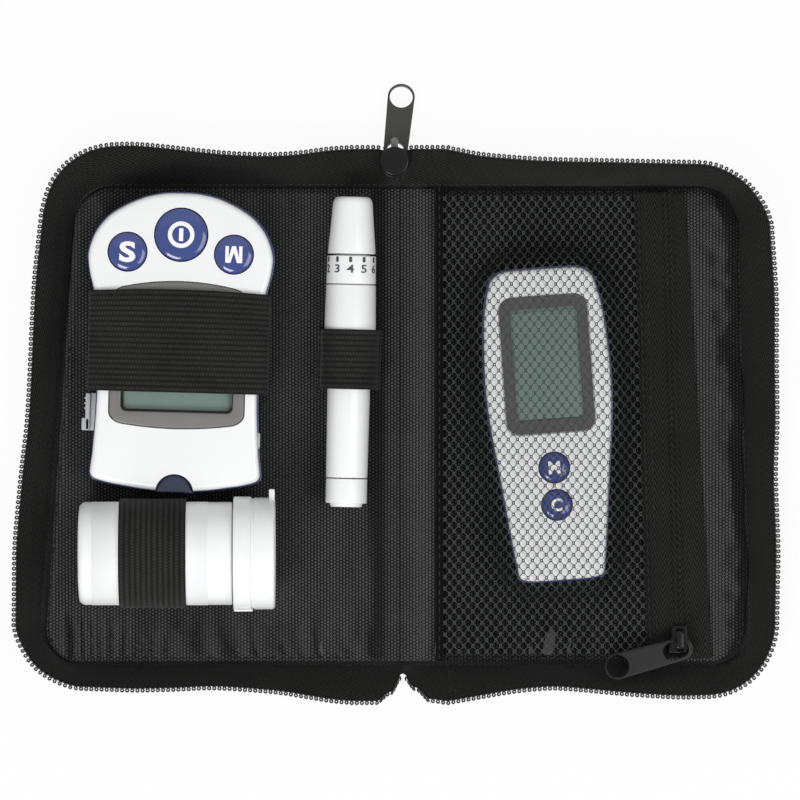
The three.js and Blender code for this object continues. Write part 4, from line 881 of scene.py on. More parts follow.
def pushed_out(rows):
    """The pillow's border wanders out over the foot of the wall."""
    out = []
    for row in rows:
        y = row[0][1]
        near, far = outer_tape_end(y), row[-1][0]
        wander = BULGE + BULGE_SWING * math.sin(y / BULGE_PITCH) * math.sin(y / BULGE_LONG_PITCH + 1)
        reach = wander * smooth((HEAD_Y - abs(y) - BULGE_START) / BULGE_FADE)
        room = max(far - near, 1)
        out.append([(x + (reach * smooth((x - near) / room) if far > near else 0), y, z) for x, y, z in row])
    return out


LEAST_PAINTED_FOLD_LIGHT = 0.3
MOST_PAINTED_FOLD_LIGHT = 2


def paint_fold_light(piece, rows):
    """Paints light and shade on the folds: one flank of a fold is painted lighter and the other darker, by
    its slope across.
    """
    values = []
    for row in rows:
        last = len(row) - 1
        for i in range(last + 1):
            low, high = row[max(i - 1, 0)], row[min(i + 1, last)]
            slope = (high[2] - low[2]) / ((high[0] - low[0]) or 1)
            contrast = PILLOW_PAINTED_LIGHT if low[0] > outer_tape_end(low[1]) else FOLD_PAINTED_LIGHT
            values.append(max(LEAST_PAINTED_FOLD_LIGHT, min(MOST_PAINTED_FOLD_LIGHT, 1 + contrast * slope)))
    layer = piece.data.attributes.new("painted_fold_light", "FLOAT", "POINT")
    layer.data.foreach_set("value", values)


def case_layer(side, kind, nodes, rows, thick, material, even=True):
    """A layer of cloth over one half and its side of the spine. The left one stands for the spine's too."""
    name = f"{SIDE_NAMES[side]}_{kind}"
    piece = panel_cloth(name, rows, thick, even)
    stands_for = [f"{SIDE_NAMES[side]}_{nodes}"] + ([f"spine_{nodes}"] if side == LEFT else [])
    finish(piece, name, material, stands_for=stands_for, angle=0)
    bend_over_fold(piece, side)
    declare_panel(rows)
    return piece


def outer_cover(side):
    rows = panel_rows(side, HEM, -SPINE_WIDTH / 2, cover_height)
    case_layer(side, "cover", "outer_fabric", rows, CLOTH, shell_cloth)


def tray_lining(side):
    rows = panel_rows(side, -LINING_INSET, -SPINE_WIDTH / 2, lining_height, columns=90, rows=120)
    if side == RIGHT:
        rows = pushed_out(rows)
    piece = case_layer(side, "tray_lining", "lining", rows, LINING, lining_cloth, even=False)
    paint_fold_light(piece, rows)


def foam_board(side):
    middle = CLOTH + LAYER_GAP + BOARD / 2
    rows = panel_rows(side, -BOARD_INSET, FOLD_RELIEF, lambda x, y, inside: middle, columns=16, rows=30)
    name = SIDE_NAMES[side]
    piece = panel_cloth(f"{name}_board", rows, BOARD)
    finish(piece, f"{name}_board", board_foam, f"{name}_half", [f"{name}_foam_board"], angle=0)


# The wall of zip tape round each half, and its coil

def flare_at(table, place):
    place = max(0, min(5, place))
    for (low, first), (high, second) in zip(table, table[1:]):
        if place <= high:
            return first + (second - first) * (place - low) / (high - low)
    return table[-1][1]


FLARE_BLUR = 0.03
SEAM_STEP = 3.2
CORNER_STEPS = 10


def seam_places(side):
    """Places along a half's seam from the head round to the foot: place, way out and reach."""
    head, foot = seam_width(side, HEAD_Y), seam_width(side, -HEAD_Y)
    places = []

    def flare(place):
        around = [flare_at(FLARES[side], place + shift) for shift in (-FLARE_BLUR, 0, FLARE_BLUR)]
        return sum(around) / len(around)

    def run(first, start, end, out):
        count = max(2, round(math.dist(start, end) / SEAM_STEP))
        for i in range(count):
            t = i / count
            u, y = start[0] + (end[0] - start[0]) * t, start[1] + (end[1] - start[1]) * t
            places.append((u, y, out, flare(first + t)))

    def corner(first, u, y, start, end):
        for i in range(CORNER_STEPS):
            t = i / CORNER_STEPS
            angle = start + (end - start) * t
            out = (math.cos(angle), math.sin(angle))
            places.append((u + SEAM_RADIUS * out[0], y + SEAM_RADIUS * out[1], out, flare(first + t)))

    r = SEAM_RADIUS
    run(0, (WALL_START, HEAD_Y), (head - r, HEAD_Y), (0, 1))
    corner(1, head - r, HEAD_Y - r, math.pi / 2, 0)
    run(2, (head, HEAD_Y - r), (foot, r - HEAD_Y), (1, 0))
    corner(3, foot - r, r - HEAD_Y, 0, -math.pi / 2)
    run(4, (foot - r, -HEAD_Y), (WALL_START, -HEAD_Y), (0, -1))
    places.append((WALL_START, -HEAD_Y, (0, -1), RIM_FLARE))
    return [(to_x(side, u), y, (side * out[0], out[1]), reach) for u, y, out, reach in places]


WALL_COLUMNS = 14
WALL_MIDDLE = WALL_COLUMNS // 2
WALL_DROP = 0.25
WALL_FOOT_OUT = 0.3
SOFT_OUT_SHARE = 0.7
SOFT_DOWN_SHARE = 0.6
TAPE_THICKNESS = 0.7
TAPE_INTO_COIL = 2.2
TAPE_ACROSS = 12.5


def wall_section(tip, top):
    """Distance out and height across the tape, from the base seam up to its edge in the coil."""
    section = []
    for i in range(WALL_COLUMNS + 1):
        t = i / WALL_COLUMNS
        out = REST_GAP + (tip - REST_GAP) * t + WALL_FOOT_OUT * (1 - t)
        z = WALL_BASE + (top - WALL_BASE) * (t + math.sin(t * math.pi / 2)) / 2
        section.append((out, z - WALL_DROP))
    return section


def wall_row(x, y, out, tip, top, waviness=1.0):
    """One row of the wall's points, from its base seam up to the coil, softly waved in between."""
    row = []
    for i, (reach, z) in enumerate(wall_section(tip, top)):
        px, py = x + out[0] * reach, y + out[1] * reach
        free = math.sin(math.pi * i / WALL_COLUMNS) * waviness
        soft = (ripple(px, py, *WALL_SWELL) + ripple(px, py, *WALL_CREASE)) * free
        outward = soft * SOFT_OUT_SHARE
        row.append((px + out[0] * outward, py + out[1] * outward, z - soft * SOFT_DOWN_SHARE))
    return row


def tape_uv(rows, start, way):
    """Places along and across the tape that carry on from one piece of it to the next."""
    middle = len(rows[0]) // 2
    along, here = [], start
    for i, row in enumerate(rows):
        here += way * math.dist(rows[i - 1][middle], row[middle]) if i else 0
        along.append([here] * len(row))
    across = [[TAPE_ACROSS * c / (len(row) - 1) for c in range(len(row))] for row in rows]
    return along, across


WALL_END = {}


STITCHES_INSIDE = 1.5
STITCHES_LIFT = 0.1


def declare_tape(rows, widest, side):
    """Works out a piece of zip tape's length along its middle and its width across its widest row, which
    nothing uses.
    """
    length = sum(math.dist(a[WALL_MIDDLE], b[WALL_MIDDLE]) for a, b in zip(rows, rows[1:])) * MM
    width = sum(math.dist(a, b) for a, b in zip(widest, widest[1:])) * MM


def tape_wall(side):
    name = SIDE_NAMES[side]
    places = seam_places(side)
    into_coil = TAPE_INTO_COIL - COIL_HALF_WIDTH
    rows = [wall_row(x, y, out, reach + into_coil, RIM_HEIGHT) for x, y, out, reach in places]
    along, across = tape_uv(rows, 0, 1)
    WALL_END[side] = along[-1][0]
    piece = cloth(f"{name}_wall_tape", rows, TAPE_THICKNESS, across, along)
    finish(piece, f"{name}_wall_tape", zip_cloth, f"{name}_half", [f"{name}_zip_tape"], angle=0)
    declare_tape(rows, rows[20], side)
    height = LINING_Z + STITCHES_LIFT
    base = [(x - out[0] * STITCHES_INSIDE, y - out[1] * STITCHES_INSIDE, height) for x, y, out, _ in places]
    stitches(f"{name}_base_stitches", base, f"{name}_half")


COIL_PITCH = 1.51
COIL_STEPS = 12
COIL_OUTWARD = 1.33
COIL_SWING = 0.6
COIL_LIFT = 0.6
COIL_WIRE = 0.26
COIL_CURL = 0.75
ROUNDING = 1e-9


def coil_points(line):
    """A flattened helix along a line of place and way out, its heads curled round."""
    spots, travelled = [], 0.0
    total = sum(math.dist(a[0], b[0]) for a, b in zip(line, line[1:]))
    count = max(1, round(total / COIL_PITCH)) * COIL_STEPS
    wanted = [total * i / count for i in range(count + 1)]
    n = 0
    for (a, out_a), (b, out_b) in zip(line, line[1:]):
        size = math.dist(a, b)
        while n <= count and wanted[n] <= travelled + size + ROUNDING:
            t = (wanted[n] - travelled) / size
            place = Vector(a).lerp(Vector(b), t)
            out = Vector(out_a).lerp(Vector(out_b), t).normalized()
            angle = 2 * math.pi * n / COIL_STEPS
            back = (Vector(b) - Vector(a)).normalized() * (COIL_CURL * math.sin(angle))
            reach = COIL_OUTWARD + COIL_SWING * math.cos(angle)
            spots.append(place + out * reach - back + Vector((0, 0, COIL_LIFT * math.sin(angle))))
            n += 1
        travelled += size
    return spots


def zip_coil(name, line, body=None, stands_for=()):
    coil = wire(coil_points(line), COIL_WIRE, name, sides=1)
    return finish(coil, name, coil_nylon, body, stands_for, angle=0)


def rim_coil(side):
    """The coil along the rim of one half."""
    name = SIDE_NAMES[side]
    places = seam_places(side)
    line = [((x + out[0] * reach, y + out[1] * reach, RIM_HEIGHT), (*out, 0)) for x, y, out, reach in places]
    zip_coil(f"{name}_coil", line, f"{name}_half", [f"{name}_zip_coil"])


# Gussets: where the wall crosses the folds at the head and the foot of the spine
GUSSET_REACH = SPINE_WIDTH / 2 + WALL_START
GUSSET_STEPS = 32
GUSSET_CALM = 0.6
# Places across the spine, each with the shares of the rim's reach and height that the tape has there
HEAD_SHAPE = [
    (-GUSSET_REACH, 1, 1), (-7, 1, 1), (-5.2, 0.97, 0.98), (-3, 0.5, 0.6), (-1.6, 0.42, 0.52),
    (-0.2, 0.5, 0.6), (2, 0.97, 0.98), (4, 1, 1), (GUSSET_REACH, 1, 1),
]
FOOT_SHAPE = [
    (-GUSSET_REACH, 1, 1), (-7, 1, 1), (-3, 0.74, 0.8), (0.8, 0.25, 0.34), (4.4, 0.6, 0.68),
    (9, 0.94, 0.98), (GUSSET_REACH, 1, 1),
]


def shape_at(shape, x):
    for (x0, o0, u0), (x1, o1, u1) in zip(shape, shape[1:]):
        if x <= x1:
            t = smooth((x - x0) / (x1 - x0))
            return o0 + (o1 - o0) * t, u0 + (u1 - u0) * t
    return shape[-1][1:]


# The coil shows where the tape reaches further out than this share
COIL_AT_HEAD = 0.93
COIL_AT_FOOT = 0.3


def gusset_piece(side, end, end_name, shape, stands_for):
    """The tape from one half to the middle of the spine, and the coil on it."""
    tip = RIM_FLARE - COIL_HALF_WIDTH + TAPE_INTO_COIL - REST_GAP
    least_out = COIL_AT_HEAD if end > 0 else COIL_AT_FOOT
    rows, line, runs = [], [], []
    for i in range(GUSSET_STEPS + 1):
        x = side * GUSSET_REACH * (1 - i / GUSSET_STEPS)
        out, up = shape_at(shape, x)
        top = WALL_BASE + (RIM_HEIGHT - WALL_BASE) * up
        waviness = 1 - GUSSET_CALM * smooth(3 * i / GUSSET_STEPS)
        rows.append(wall_row(x, end * HEAD_Y, (0, end), REST_GAP + tip * out, top, waviness))
        if out > least_out:
            line.append(((x, end * (HEAD_Y + RIM_FLARE * out), top), (0, end, 0)))
        elif line:
            runs.append(line)
            line = []
    runs.append(line)
    name = f"{SIDE_NAMES[side]}_{end_name}_gusset"
    along, across = tape_uv(rows, *((0, -1) if end > 0 else (WALL_END[side], 1)))
    piece = cloth(name, rows, TAPE_THICKNESS, across, along)
    finish(piece, name, zip_cloth, stands_for=stands_for, angle=0)
    declare_tape(rows, rows[0], side)
    bend_over_fold(piece, side)
    for number, run in enumerate(run for run in runs if len(run) > 2):
        bend_over_fold(zip_coil(f"{name}_coil_{number + 1}", run), side)


def gusset(end, end_name, shape):
    """The two gusset pieces at one end of the spine. The left one stands for the CAD node."""
    gusset_piece(LEFT, end, end_name, shape, [f"spine_{end_name}_gusset"])
    gusset_piece(RIGHT, end, end_name, shape, ())


for side in (LEFT, RIGHT):
    outer_cover(side)
    foam_board(side)
    tray_lining(side)
    tape_wall(side)
    rim_coil(side)
gusset(1, "head", HEAD_SHAPE)
gusset(-1, "foot", FOOT_SHAPE)


# Elastic bands over the meter, the vial and the pen
BAND = 0.9
BAND_CROWN = 0.1
BAND_FOOT_Z = 4.15
RIB_RELIEF = 0.2
COLUMNS_A_RIB = 4
# How a band's foot spreads: shares of its flare, and heights over the sewn seam
BAND_FEET = ((1, -0.2), (1 / 3, 0.7), (0, 1.6))


def elastic_band(name, path, width, ribs, place, body, stands_for, lay):
    """A ribbed band along a path of distance and height, laid across the piece that it holds."""
    columns = ribs * COLUMNS_A_RIB
    path = [Vector(p) for p in path]
    rows = []
    for i, point in enumerate(path):
        before, after = path[max(i - 1, 0)], path[min(i + 1, len(path) - 1)]
        way = (after - before).normalized()
        out = Vector((-way.y, way.x))
        row = []
        for c in range(columns + 1):
            t = c / columns
            swell = RIB_RELIEF * abs(math.sin(math.pi * ribs * t)) + BAND_CROWN * math.sin(math.pi * t)
            spot = point + out * swell
            row.append(lay(spot.x, (t - 0.5) * width, spot.y))
        rows.append(row)
    across = [[ribs * c / columns for c in range(columns + 1)] for _ in rows]
    piece = cloth(name, rows, BAND - 2 * RIB_RELIEF, across)
    settle(piece, *place)
    finish(piece, name, elastic_cloth, body, stands_for=stands_for, angle=0)
    length = sum((b - a).length for a, b in zip(path, path[1:])) * MM
    return piece


PATH_STEP = 0.8


def resampled(points):
    line = stepped([(*p, 0) for p in points], PATH_STEP)
    return [(spot.x, spot.y) for spot, _ in line] + [points[-1]]


def band_path(half, over, flare):
    """Up from a sewn foot at each side, with the points that go over what the band holds in between."""
    foot = [(half + flare * share, BAND_FOOT_Z + up) for share, up in BAND_FEET]
    return resampled(foot + over + [(-x, z) for x, z in reversed(foot)])


def arch_path(radius, axis_z, flare=0.3):
    """Round over a body that lies at a height."""
    return band_path(radius, arc(0, axis_z, radius, 0, math.pi, 40), flare)


def saddle_path(half, top, corner, crown, flare=0.3, steps=20):
    """Flat over a box with rounded edges."""
    reach = half - corner
    over = arc(reach, top - corner, corner, 0, math.pi / 2, 8)
    for i in range(1, steps):
        x = reach - 2 * reach * i / steps
        over.append((x, top + crown * (1 - (x / reach) ** 2)))
    return band_path(half, over + arc(-reach, top - corner, corner, math.pi / 2, math.pi, 8), flare)


# Meters
METER_A = {
    "name": "meter_a", "body": "left_half", "place": (-65.0, 24.2), "turn": math.radians(-1.6),
    "width": 54, "length": 87.3, "top": 21.7, "split": 12.7, "front": 3.2, "key_depth": 4.4,
    "keys": [("power", 0, 31.6, 7.7), ("set", -15.6, 26.2, 5.6), ("memory", 15.6, 26.2, 5.6)],
}
METER_B = {
    "name": "meter_b", "body": "right_half", "place": (44.4, 0.2), "turn": math.radians(4.1),
    "width": 36.8, "length": 91.4, "top": 16.7, "split": 10.2, "front": 2.6, "key_depth": 3.8,
    "keys": [("upper", 0, -12.7, 4.4), ("lower", 0, -23.7, 4.4)],
}
# Half outlines from head to foot: the share of the half length, and of the half width there
METER_A["shares"] = [
    (1, 0.16), (0.977, 0.36), (0.945, 0.5), (0.9, 0.645), (0.84, 0.785), (0.76, 0.895), (0.68, 0.96),
    (0.58, 1), (0.46, 0.98), (0.35, 0.935), (0, 0.88), (-0.4, 0.868),
    (-0.75, 0.9), (-0.88, 0.922), (-0.913, 0.9), (-0.932, 0.84), (-0.952, 0.71), (-0.966, 0.57),
    (-0.984, 0.38), (-1, 0.08),
]
METER_B["shares"] = [
    (1, 0.5), (0.985, 0.68), (0.93, 0.82), (0.75, 0.93), (0.5, 0.985), (0.25, 1), (0, 0.965),
    (-0.25, 0.89), (-0.5, 0.82), (-0.75, 0.75), (-0.93, 0.69), (-0.965, 0.675), (-0.987, 0.62), (-1, 0.45),
]
SHELL_WALL = 1.6
BACK_PROUD = 0.6
EDGE_ROUND = 2.6
KEY_GAP = 0.3
KEY_DOME = 1.2
KEY_SUNK = 0.1
PRINT = 0.1
PRINT_SUNK = 0.01
LETTER_HALF = 0.03
LETTER_FACE = 0.55


def rounded_line(points, steps=4):
    """A smooth closed line through points."""
    count = len(points)
    out = []
    for i in range(count):
        p0, p1, p2, p3 = (Vector(points[(i + k) % count]) for k in (-1, 0, 1, 2))
        for k in range(steps):
            t = k / steps
            size = (p2 - p1).length
            a = (p2 - p0) / 2 * min(1, size / max((p1 - p0).length, NEAR))
            b = (p3 - p1) / 2 * min(1, size / max((p3 - p2).length, NEAR))
            h = (2 * t**3 - 3 * t**2 + 1, t**3 - 2 * t**2 + t, 3 * t**2 - 2 * t**3, t**3 - t**2)
            out.append(tuple(p1 * h[0] + a * h[1] + p2 * h[2] + b * h[3]))
    return out


def meter_outline(meter, inset=0):
    width, length = meter["width"] / 2 - inset, meter["length"] / 2 - inset
    right = [(across * width, along * length) for along, across in meter["shares"]]
    return rounded_line([(-x, y) for x, y in right] + right[::-1])


def on_meter(meter, piece, name, material, stands_for=(), body=None, angle=38):
    """Moves a piece made about a meter's own middle to the meter's place, and finishes it."""
    settle(piece, (*meter["place"], 0), meter["turn"])
    return finish(piece, name, material, body or meter["body"], stands_for, angle)


def meter_shells(meter, holes, back_holes):
    """The white front shell and the navy back shell of a meter, with their openings cut."""
    name, split, top = meter["name"], meter["split"], meter["top"]
    inside = meter_outline(meter, SHELL_WALL)
    front = plate(meter_outline(meter), split + REST_GAP, top, top=EDGE_ROUND, foot=0.3, segments=6)
    bored(front, sharp_plate(inside, split - SHELL_WALL, top - meter["front"]), *holes)
    on_meter(meter, front, f"{name}_front_cover", white_plastic, [f"{name}_front_shell"])
    back = plate(meter_outline(meter, -BACK_PROUD), FLOOR_Z, split, top=0.3, foot=SHELL_WALL, segments=4)
    bored(back, sharp_plate(inside, FLOOR_Z + SHELL_WALL, split + SHELL_WALL), *back_holes)
    on_meter(meter, back, f"{name}_back_cover", navy_plastic, [f"{name}_back_shell"])


DOME_POWER = 0.4


def dome_height(r, radius, height):
    share = min(r / radius, 1)
    return height * (1 - share * share) ** DOME_POWER


def dome(radius, height, steps=9):
    """Radius and height over a domed key's face, from its rolled edge in to its middle."""
    radii = [radius * math.sin(math.pi / 2 * i / steps) for i in range(steps, -1, -1)]
    return [(r, dome_height(r, radius, height)) for r in radii]


def key_holes(meter):
    high = meter["top"] + CUT_PAST
    return [cylinder(radius + KEY_GAP, meter["split"], high, x, y) for _, x, y, radius in meter["keys"]]


def key(meter, name, x, y, radius):
    """A domed key. It replaces the CAD key of its name and rides on it."""
    node_name = f"{meter['name']}_{name}_button"
    face, low = meter["top"] - KEY_SUNK, meter["top"] - meter["key_depth"]
    profile = [(0, low), (radius, low), (radius, face)]
    profile += [(r, face + z) for r, z in dome(radius, KEY_DOME)[1:]]
    cap = settle(turned(profile, steps=48), (x, y, 0))
    on_meter(meter, cap, f"{node_name}_cap", navy_key, [node_name], node_name, angle=60)


def key_print(meter, name, sign, key_of_sign):
    """A white sign laid on a domed key."""
    key_name, x, y, radius = key_of_sign
    for vertex in sign.data.vertices:
        r = math.hypot(vertex.co.x, vertex.co.y) / MM
        raised = (PRINT if vertex.co.z > 0 else 0) - PRINT_SUNK
        vertex.co.z = (meter["top"] - KEY_SUNK + dome_height(r, radius, KEY_DOME) + raised) * MM
    settle(sign, (x, y, 0))
    node_name = f"{meter['name']}_{key_name}_button"
    on_meter(meter, sign, name, print_white, body=node_name, angle=0)


def diced(sign, size):
    """Cuts a flat sign into small faces, so that it can follow a curved surface."""
    only(sign)
    bpy.ops.object.mode_set(mode="EDIT")
    count = math.ceil(size / 2 / LETTER_FACE)
    for axis in ((1, 0, 0), (0, 1, 0)):
        for i in range(-count, count + 1):
            select_all()
            bpy.ops.mesh.bisect(plane_co=Vector(axis) * i * LETTER_FACE * MM, plane_no=axis)
    bpy.ops.object.mode_set(mode="OBJECT")
    return sign


def lettering(text, size, thicken=0.0, wide=1.0):
    """Letters as a thin mesh about their own middle."""
    curve = bpy.data.curves.new("letters", "FONT")
    curve.body = text
    curve.size = size * MM
    curve.offset = thicken * MM
    curve.extrude = LETTER_HALF * MM
    curve.resolution_u = 4
    curve.align_x = "CENTER"
    curve.align_y = "CENTER"
    letters = as_mesh("letters", curve)
    xs = [v.co.x for v in letters.data.vertices]
    ys = [v.co.y for v in letters.data.vertices]
    middle = Vector((min(xs) + max(xs), min(ys) + max(ys), 0)) / 2
    letters.data.transform(Matrix.Diagonal((wide, 1, 1, 1)) @ Matrix.Translation(-middle))
    return diced(letters, size)


def thin(outline):
    """A flat sign as thin as the letters."""
    return sharp_plate(outline, -LETTER_HALF, LETTER_HALF)


def memory_sign(width, height):
    """A bold M, read from the meter's other end."""
    w, h = width / 2, height / 2
    outline = [
        (-w, -h), (-w, h), (-0.38 * w, h), (0, -0.25 * h), (0.38 * w, h), (w, h), (w, -h), (0.6 * w, -h),
        (0.6 * w, 0.35 * h), (0.24 * w, -h), (-0.24 * w, -h), (-0.6 * w, 0.35 * h), (-0.6 * w, -h),
    ]
    return diced(thin([(-x, -y) for x, y in outline][::-1]), height)


def ring_sign(outer, inner, bar_width, bar_length):
    """A ring with an upright bar inside it."""
    ring = thin(arc(0, 0, outer, 0, 2 * math.pi, 47)[:-1])
    bored(ring, sharp_plate(arc(0, 0, inner, 0, 2 * math.pi, 39)[:-1], -CUT_PAST, CUT_PAST))
    bar = thin(rounded_box(bar_width, bar_length, 0.2, steps=2))
    return diced(together(ring, bar), 2 * outer)


def cylinder(radius, low, high, x=0, y=0, steps=48):
    return sharp_plate(arc(x, y, radius, 0, 2 * math.pi * (steps - 1) / steps, steps - 1), low, high)


def half_disc(y, radius, low, high, top=0.0):
    return plate(arc(0, y, radius, 0, math.pi, 24), low, high, top=top, foot=0)


def block(width, length, low, high, x=0, y=0, edge=0.25):
    """A block with small rounded edges all round."""
    return plate(rounded_box(width, length, min(edge, width / 3, length / 3), x, y, 2), low, high,
                 top=edge, foot=edge, segments=2)


SCREEN_A = {"width": 39.6, "length": 43, "corner": 4, "y": -3.7, "recess": 19.0, "bow": 2.6, "foot_bow": 1.7}
SCREEN_B = {"width": 26.4, "length": 40.8, "corner": 4, "y": 17.8, "recess": 15.4, "bow": 0.8, "foot_bow": 0}
SCREEN_STEP = 2.6
SCREEN_GAP = 0.25
SCREEN_DEPTH = 8
SCREEN_HOLE_CORNER = 2.4
BEZEL_WIDTH = 3.4
BEZEL_FOOT = 4.8


def screen_outline(screen, grow=0.0):
    """A rounded box whose head and foot edges bow out in the middle."""
    half = screen["width"] / 2
    width, length = screen["width"] + 2 * grow, screen["length"] + 2 * grow
    box = rounded_box(width, length, screen["corner"], 0, screen["y"], 10)
    out = []
    for p, q in zip(box, box[1:] + box[:1]):
        count = max(1, round(math.dist(p, q) / SCREEN_STEP))
        for i in range(count):
            x, y = p[0] + (q[0] - p[0]) * i / count, p[1] + (q[1] - p[1]) * i / count
            share = (y - screen["y"]) / (screen["length"] / 2)
            bow = screen["bow"] if share > 0 else -screen["foot_bow"]
            out.append((x, y - bow * (x / half) ** 2 * share ** 4))
    return out


def screen_holes(screen, top):
    """The recess that the window lies in, and the hole through the shell under it."""
    recess = sharp_plate(screen_outline(screen, SCREEN_GAP), screen["recess"], top + CUT_PAST)
    width, length = screen["width"] - BEZEL_WIDTH, screen["length"] - BEZEL_WIDTH
    through = rounded_box(width, length, SCREEN_HOLE_CORNER, 0, screen["y"])
    return [recess, sharp_plate(through, screen["recess"] - SCREEN_DEPTH, top + CUT_PAST)]


GLASS = 1.65
FILM = 0.35
FILM_LAP = 0.05
FILM_SIDE = 0.8
FILM_END = 1.2
FILM_DOWN = 0.3


def liquid_display(meter, screen, width, length, high):
    """A display: its glass, and the smaller film on it."""
    y, node_name = screen["y"], f"{meter['name']}_display"
    glass_top = high - FILM
    glass = plate(rounded_box(width, length, 0.4, 0, y, 2), glass_top - GLASS, glass_top, top=0.1, foot=0.1)
    film_outline = rounded_box(width - 2 * FILM_SIDE, length - 2 * FILM_END, 0.3, 0, y - FILM_DOWN, 2)
    film = plate(film_outline, glass_top - FILM_LAP, high, top=0.08, foot=0)
    on_meter(meter, together(glass, film), f"{node_name}_panel", display_glass, [node_name])


# Meter A's strip port, battery door, screw posts, eject slide and strap
PORT_RADIUS = 5.35
PORT_LOW = 2.1
PORT_HOLE_LOW = 3.4
PORT_RISE = 0.4
STRIP_SLOT = {"width": 6.4, "length": 9}
STRIP_SLOT_UP = 2
STRIP_SLOT_HEIGHT = 1.2
DOOR = 24
DOOR_Y = -8
DOOR_HOLE = 3
POST_RADIUS = 2.3
POST_X = 17.5
POST_Y = -34
SLIDE_LOW = 9
SLIDE_HIGH = 12.6
SLIDE_LENGTH = 11
SLIDE_Y = -21
SLIDE_SIDE_SHARE = 0.88
SLIDE_THUMB = 1.4
SLIDE_NUB = 2.4
SLIDE_NUB_LENGTH = 3.7
SLIDE_TONGUE = 4.4
SLIDE_TONGUE_HIGH = 11.1
SLIDE_SLOT = {"width": 9, "length": 17.6, "low": SLIDE_LOW, "high": 11.6, "x": -23.8, "y": -24}
GRIP = 0.5
GRIP_PITCH = 1.5
GRIP_INSET = 0.1
GRIPS_UP = 1
SIDE_RIB = {"width": 2, "length": 4.7, "low": 12.9, "high": 16.5, "x": 23.7, "y": -28.2}
BEZEL_LOW = 20.6
LENS_A = (19.3, 20.3)
DISPLAY_A = (32.8, 36.4, 18.7)
DARK_EDGE = {"width": 33, "length": 37, "radius": 1}
DARK_EDGE_INSIDE = 0.9
DARK_EDGE_SHIFT = 0.2
POWER_SIGN = {"outer": 3.9, "inner": 2.65, "bar_width": 1.25, "bar_length": 3.8}
SET_SIGN = {"size": 7.9, "thicken": 0.3, "wide": 1.3}
MEMORY_SIGN = {"width": 5, "height": 4.9}
METER_BAND_WIDTH = 30
METER_BAND_RIBS = 19
METER_BAND_HALF = 26.4
METER_BAND_TOP = 22.75
METER_BAND_CORNER = 3.2
METER_BAND_CROWN = 0.35
METER_BAND_Y = 0.4
METER_BAND_DIP = 0.9


def meter_a_case(meter, screen):
    """Meter A's shells with the openings for its screen, keys, port, slide, door and screws."""
    top, split = meter["top"], meter["split"]
    foot, port = -meter["length"] / 2 - BACK_PROUD, PORT_RADIUS + REST_GAP
    holes = screen_holes(screen, top) + key_holes(meter)
    holes.append(half_disc(foot, port, split - CUT_PAST, top + CUT_PAST))
    low, high = FLOOR_Z - CUT_PAST, FLOOR_Z + DOOR_HOLE
    door_hole = rounded_box(DOOR + 2 * REST_GAP, DOOR + 2 * REST_GAP, 1, 0, DOOR_Y)
    meter_shells(meter, holes, [
        half_disc(foot, port, split - PORT_HOLE_LOW, split + CUT_PAST),
        block(**SLIDE_SLOT, edge=0.1),
        sharp_plate(door_hole, low, high),
        cylinder(POST_RADIUS, low, high, -POST_X, POST_Y),
        cylinder(POST_RADIUS, low, high, POST_X, POST_Y),
    ])


def meter_a_screen(meter, screen):
    """The grey bezel, the window in it, and the display with its dark edge."""
    top = meter["top"]
    bezel = plate(screen_outline(screen), BEZEL_LOW, top, top=0.45, foot=0)
    y = screen["y"] + (BEZEL_FOOT - BEZEL_WIDTH) / 2
    width, length = screen["width"] - 2 * BEZEL_WIDTH, screen["length"] - BEZEL_WIDTH - BEZEL_FOOT
    bored(bezel, sharp_plate(rounded_box(width, length, 1.7, 0, y), BEZEL_LOW - CUT_PAST, top + CUT_PAST))

    def on_rim(p):
        beside, beyond = abs(p.x) - width / 2, abs(p.y - y) - length / 2
        return abs(p.z - top) < NEAR and max(beside, beyond) < SCREEN_GAP

    round_off(bezel, 0.5, 3, lambda a, b: on_rim(a) and on_rim(b))
    on_meter(meter, bezel, "meter_a_screen_frame", bezel_grey, ["meter_a_bezel"])
    window = plate(screen_outline(screen), *LENS_A, top=0.1, foot=0.1)
    on_meter(meter, window, "meter_a_lens", clear_window, ["meter_a_window"])
    liquid_display(meter, screen, *DISPLAY_A)
    low, high = DISPLAY_A[2] + FILM_LAP, screen["recess"]
    edge = sharp_plate(rounded_box(**DARK_EDGE, y=y), low, high)
    width, length = width - DARK_EDGE_INSIDE, length - DARK_EDGE_INSIDE
    inside = rounded_box(width, length, 1.5, DARK_EDGE_SHIFT, y + DARK_EDGE_SHIFT)
    bored(edge, sharp_plate(inside, low - CUT_PAST, high + CUT_PAST))
    on_meter(meter, edge, "meter_a_display_edge", black_lacquer, angle=0)


def meter_a_port(meter):
    """The navy mouth at the foot that a test strip goes into, darkened with painted shade."""
    foot, low = -meter["length"] / 2 - BACK_PROUD, meter["split"] + STRIP_SLOT_UP
    mouth_low, mouth_high = meter["split"] - PORT_LOW, meter["top"] - EDGE_ROUND + PORT_RISE
    mouth = half_disc(foot, PORT_RADIUS, mouth_low, mouth_high, top=1.1)
    bored(mouth, block(**STRIP_SLOT, low=low, high=low + STRIP_SLOT_HEIGHT, y=foot, edge=0.2))
    on_meter(meter, mouth, "meter_a_port_mouth", port_navy_painted_shade, ["meter_a_strip_port"])


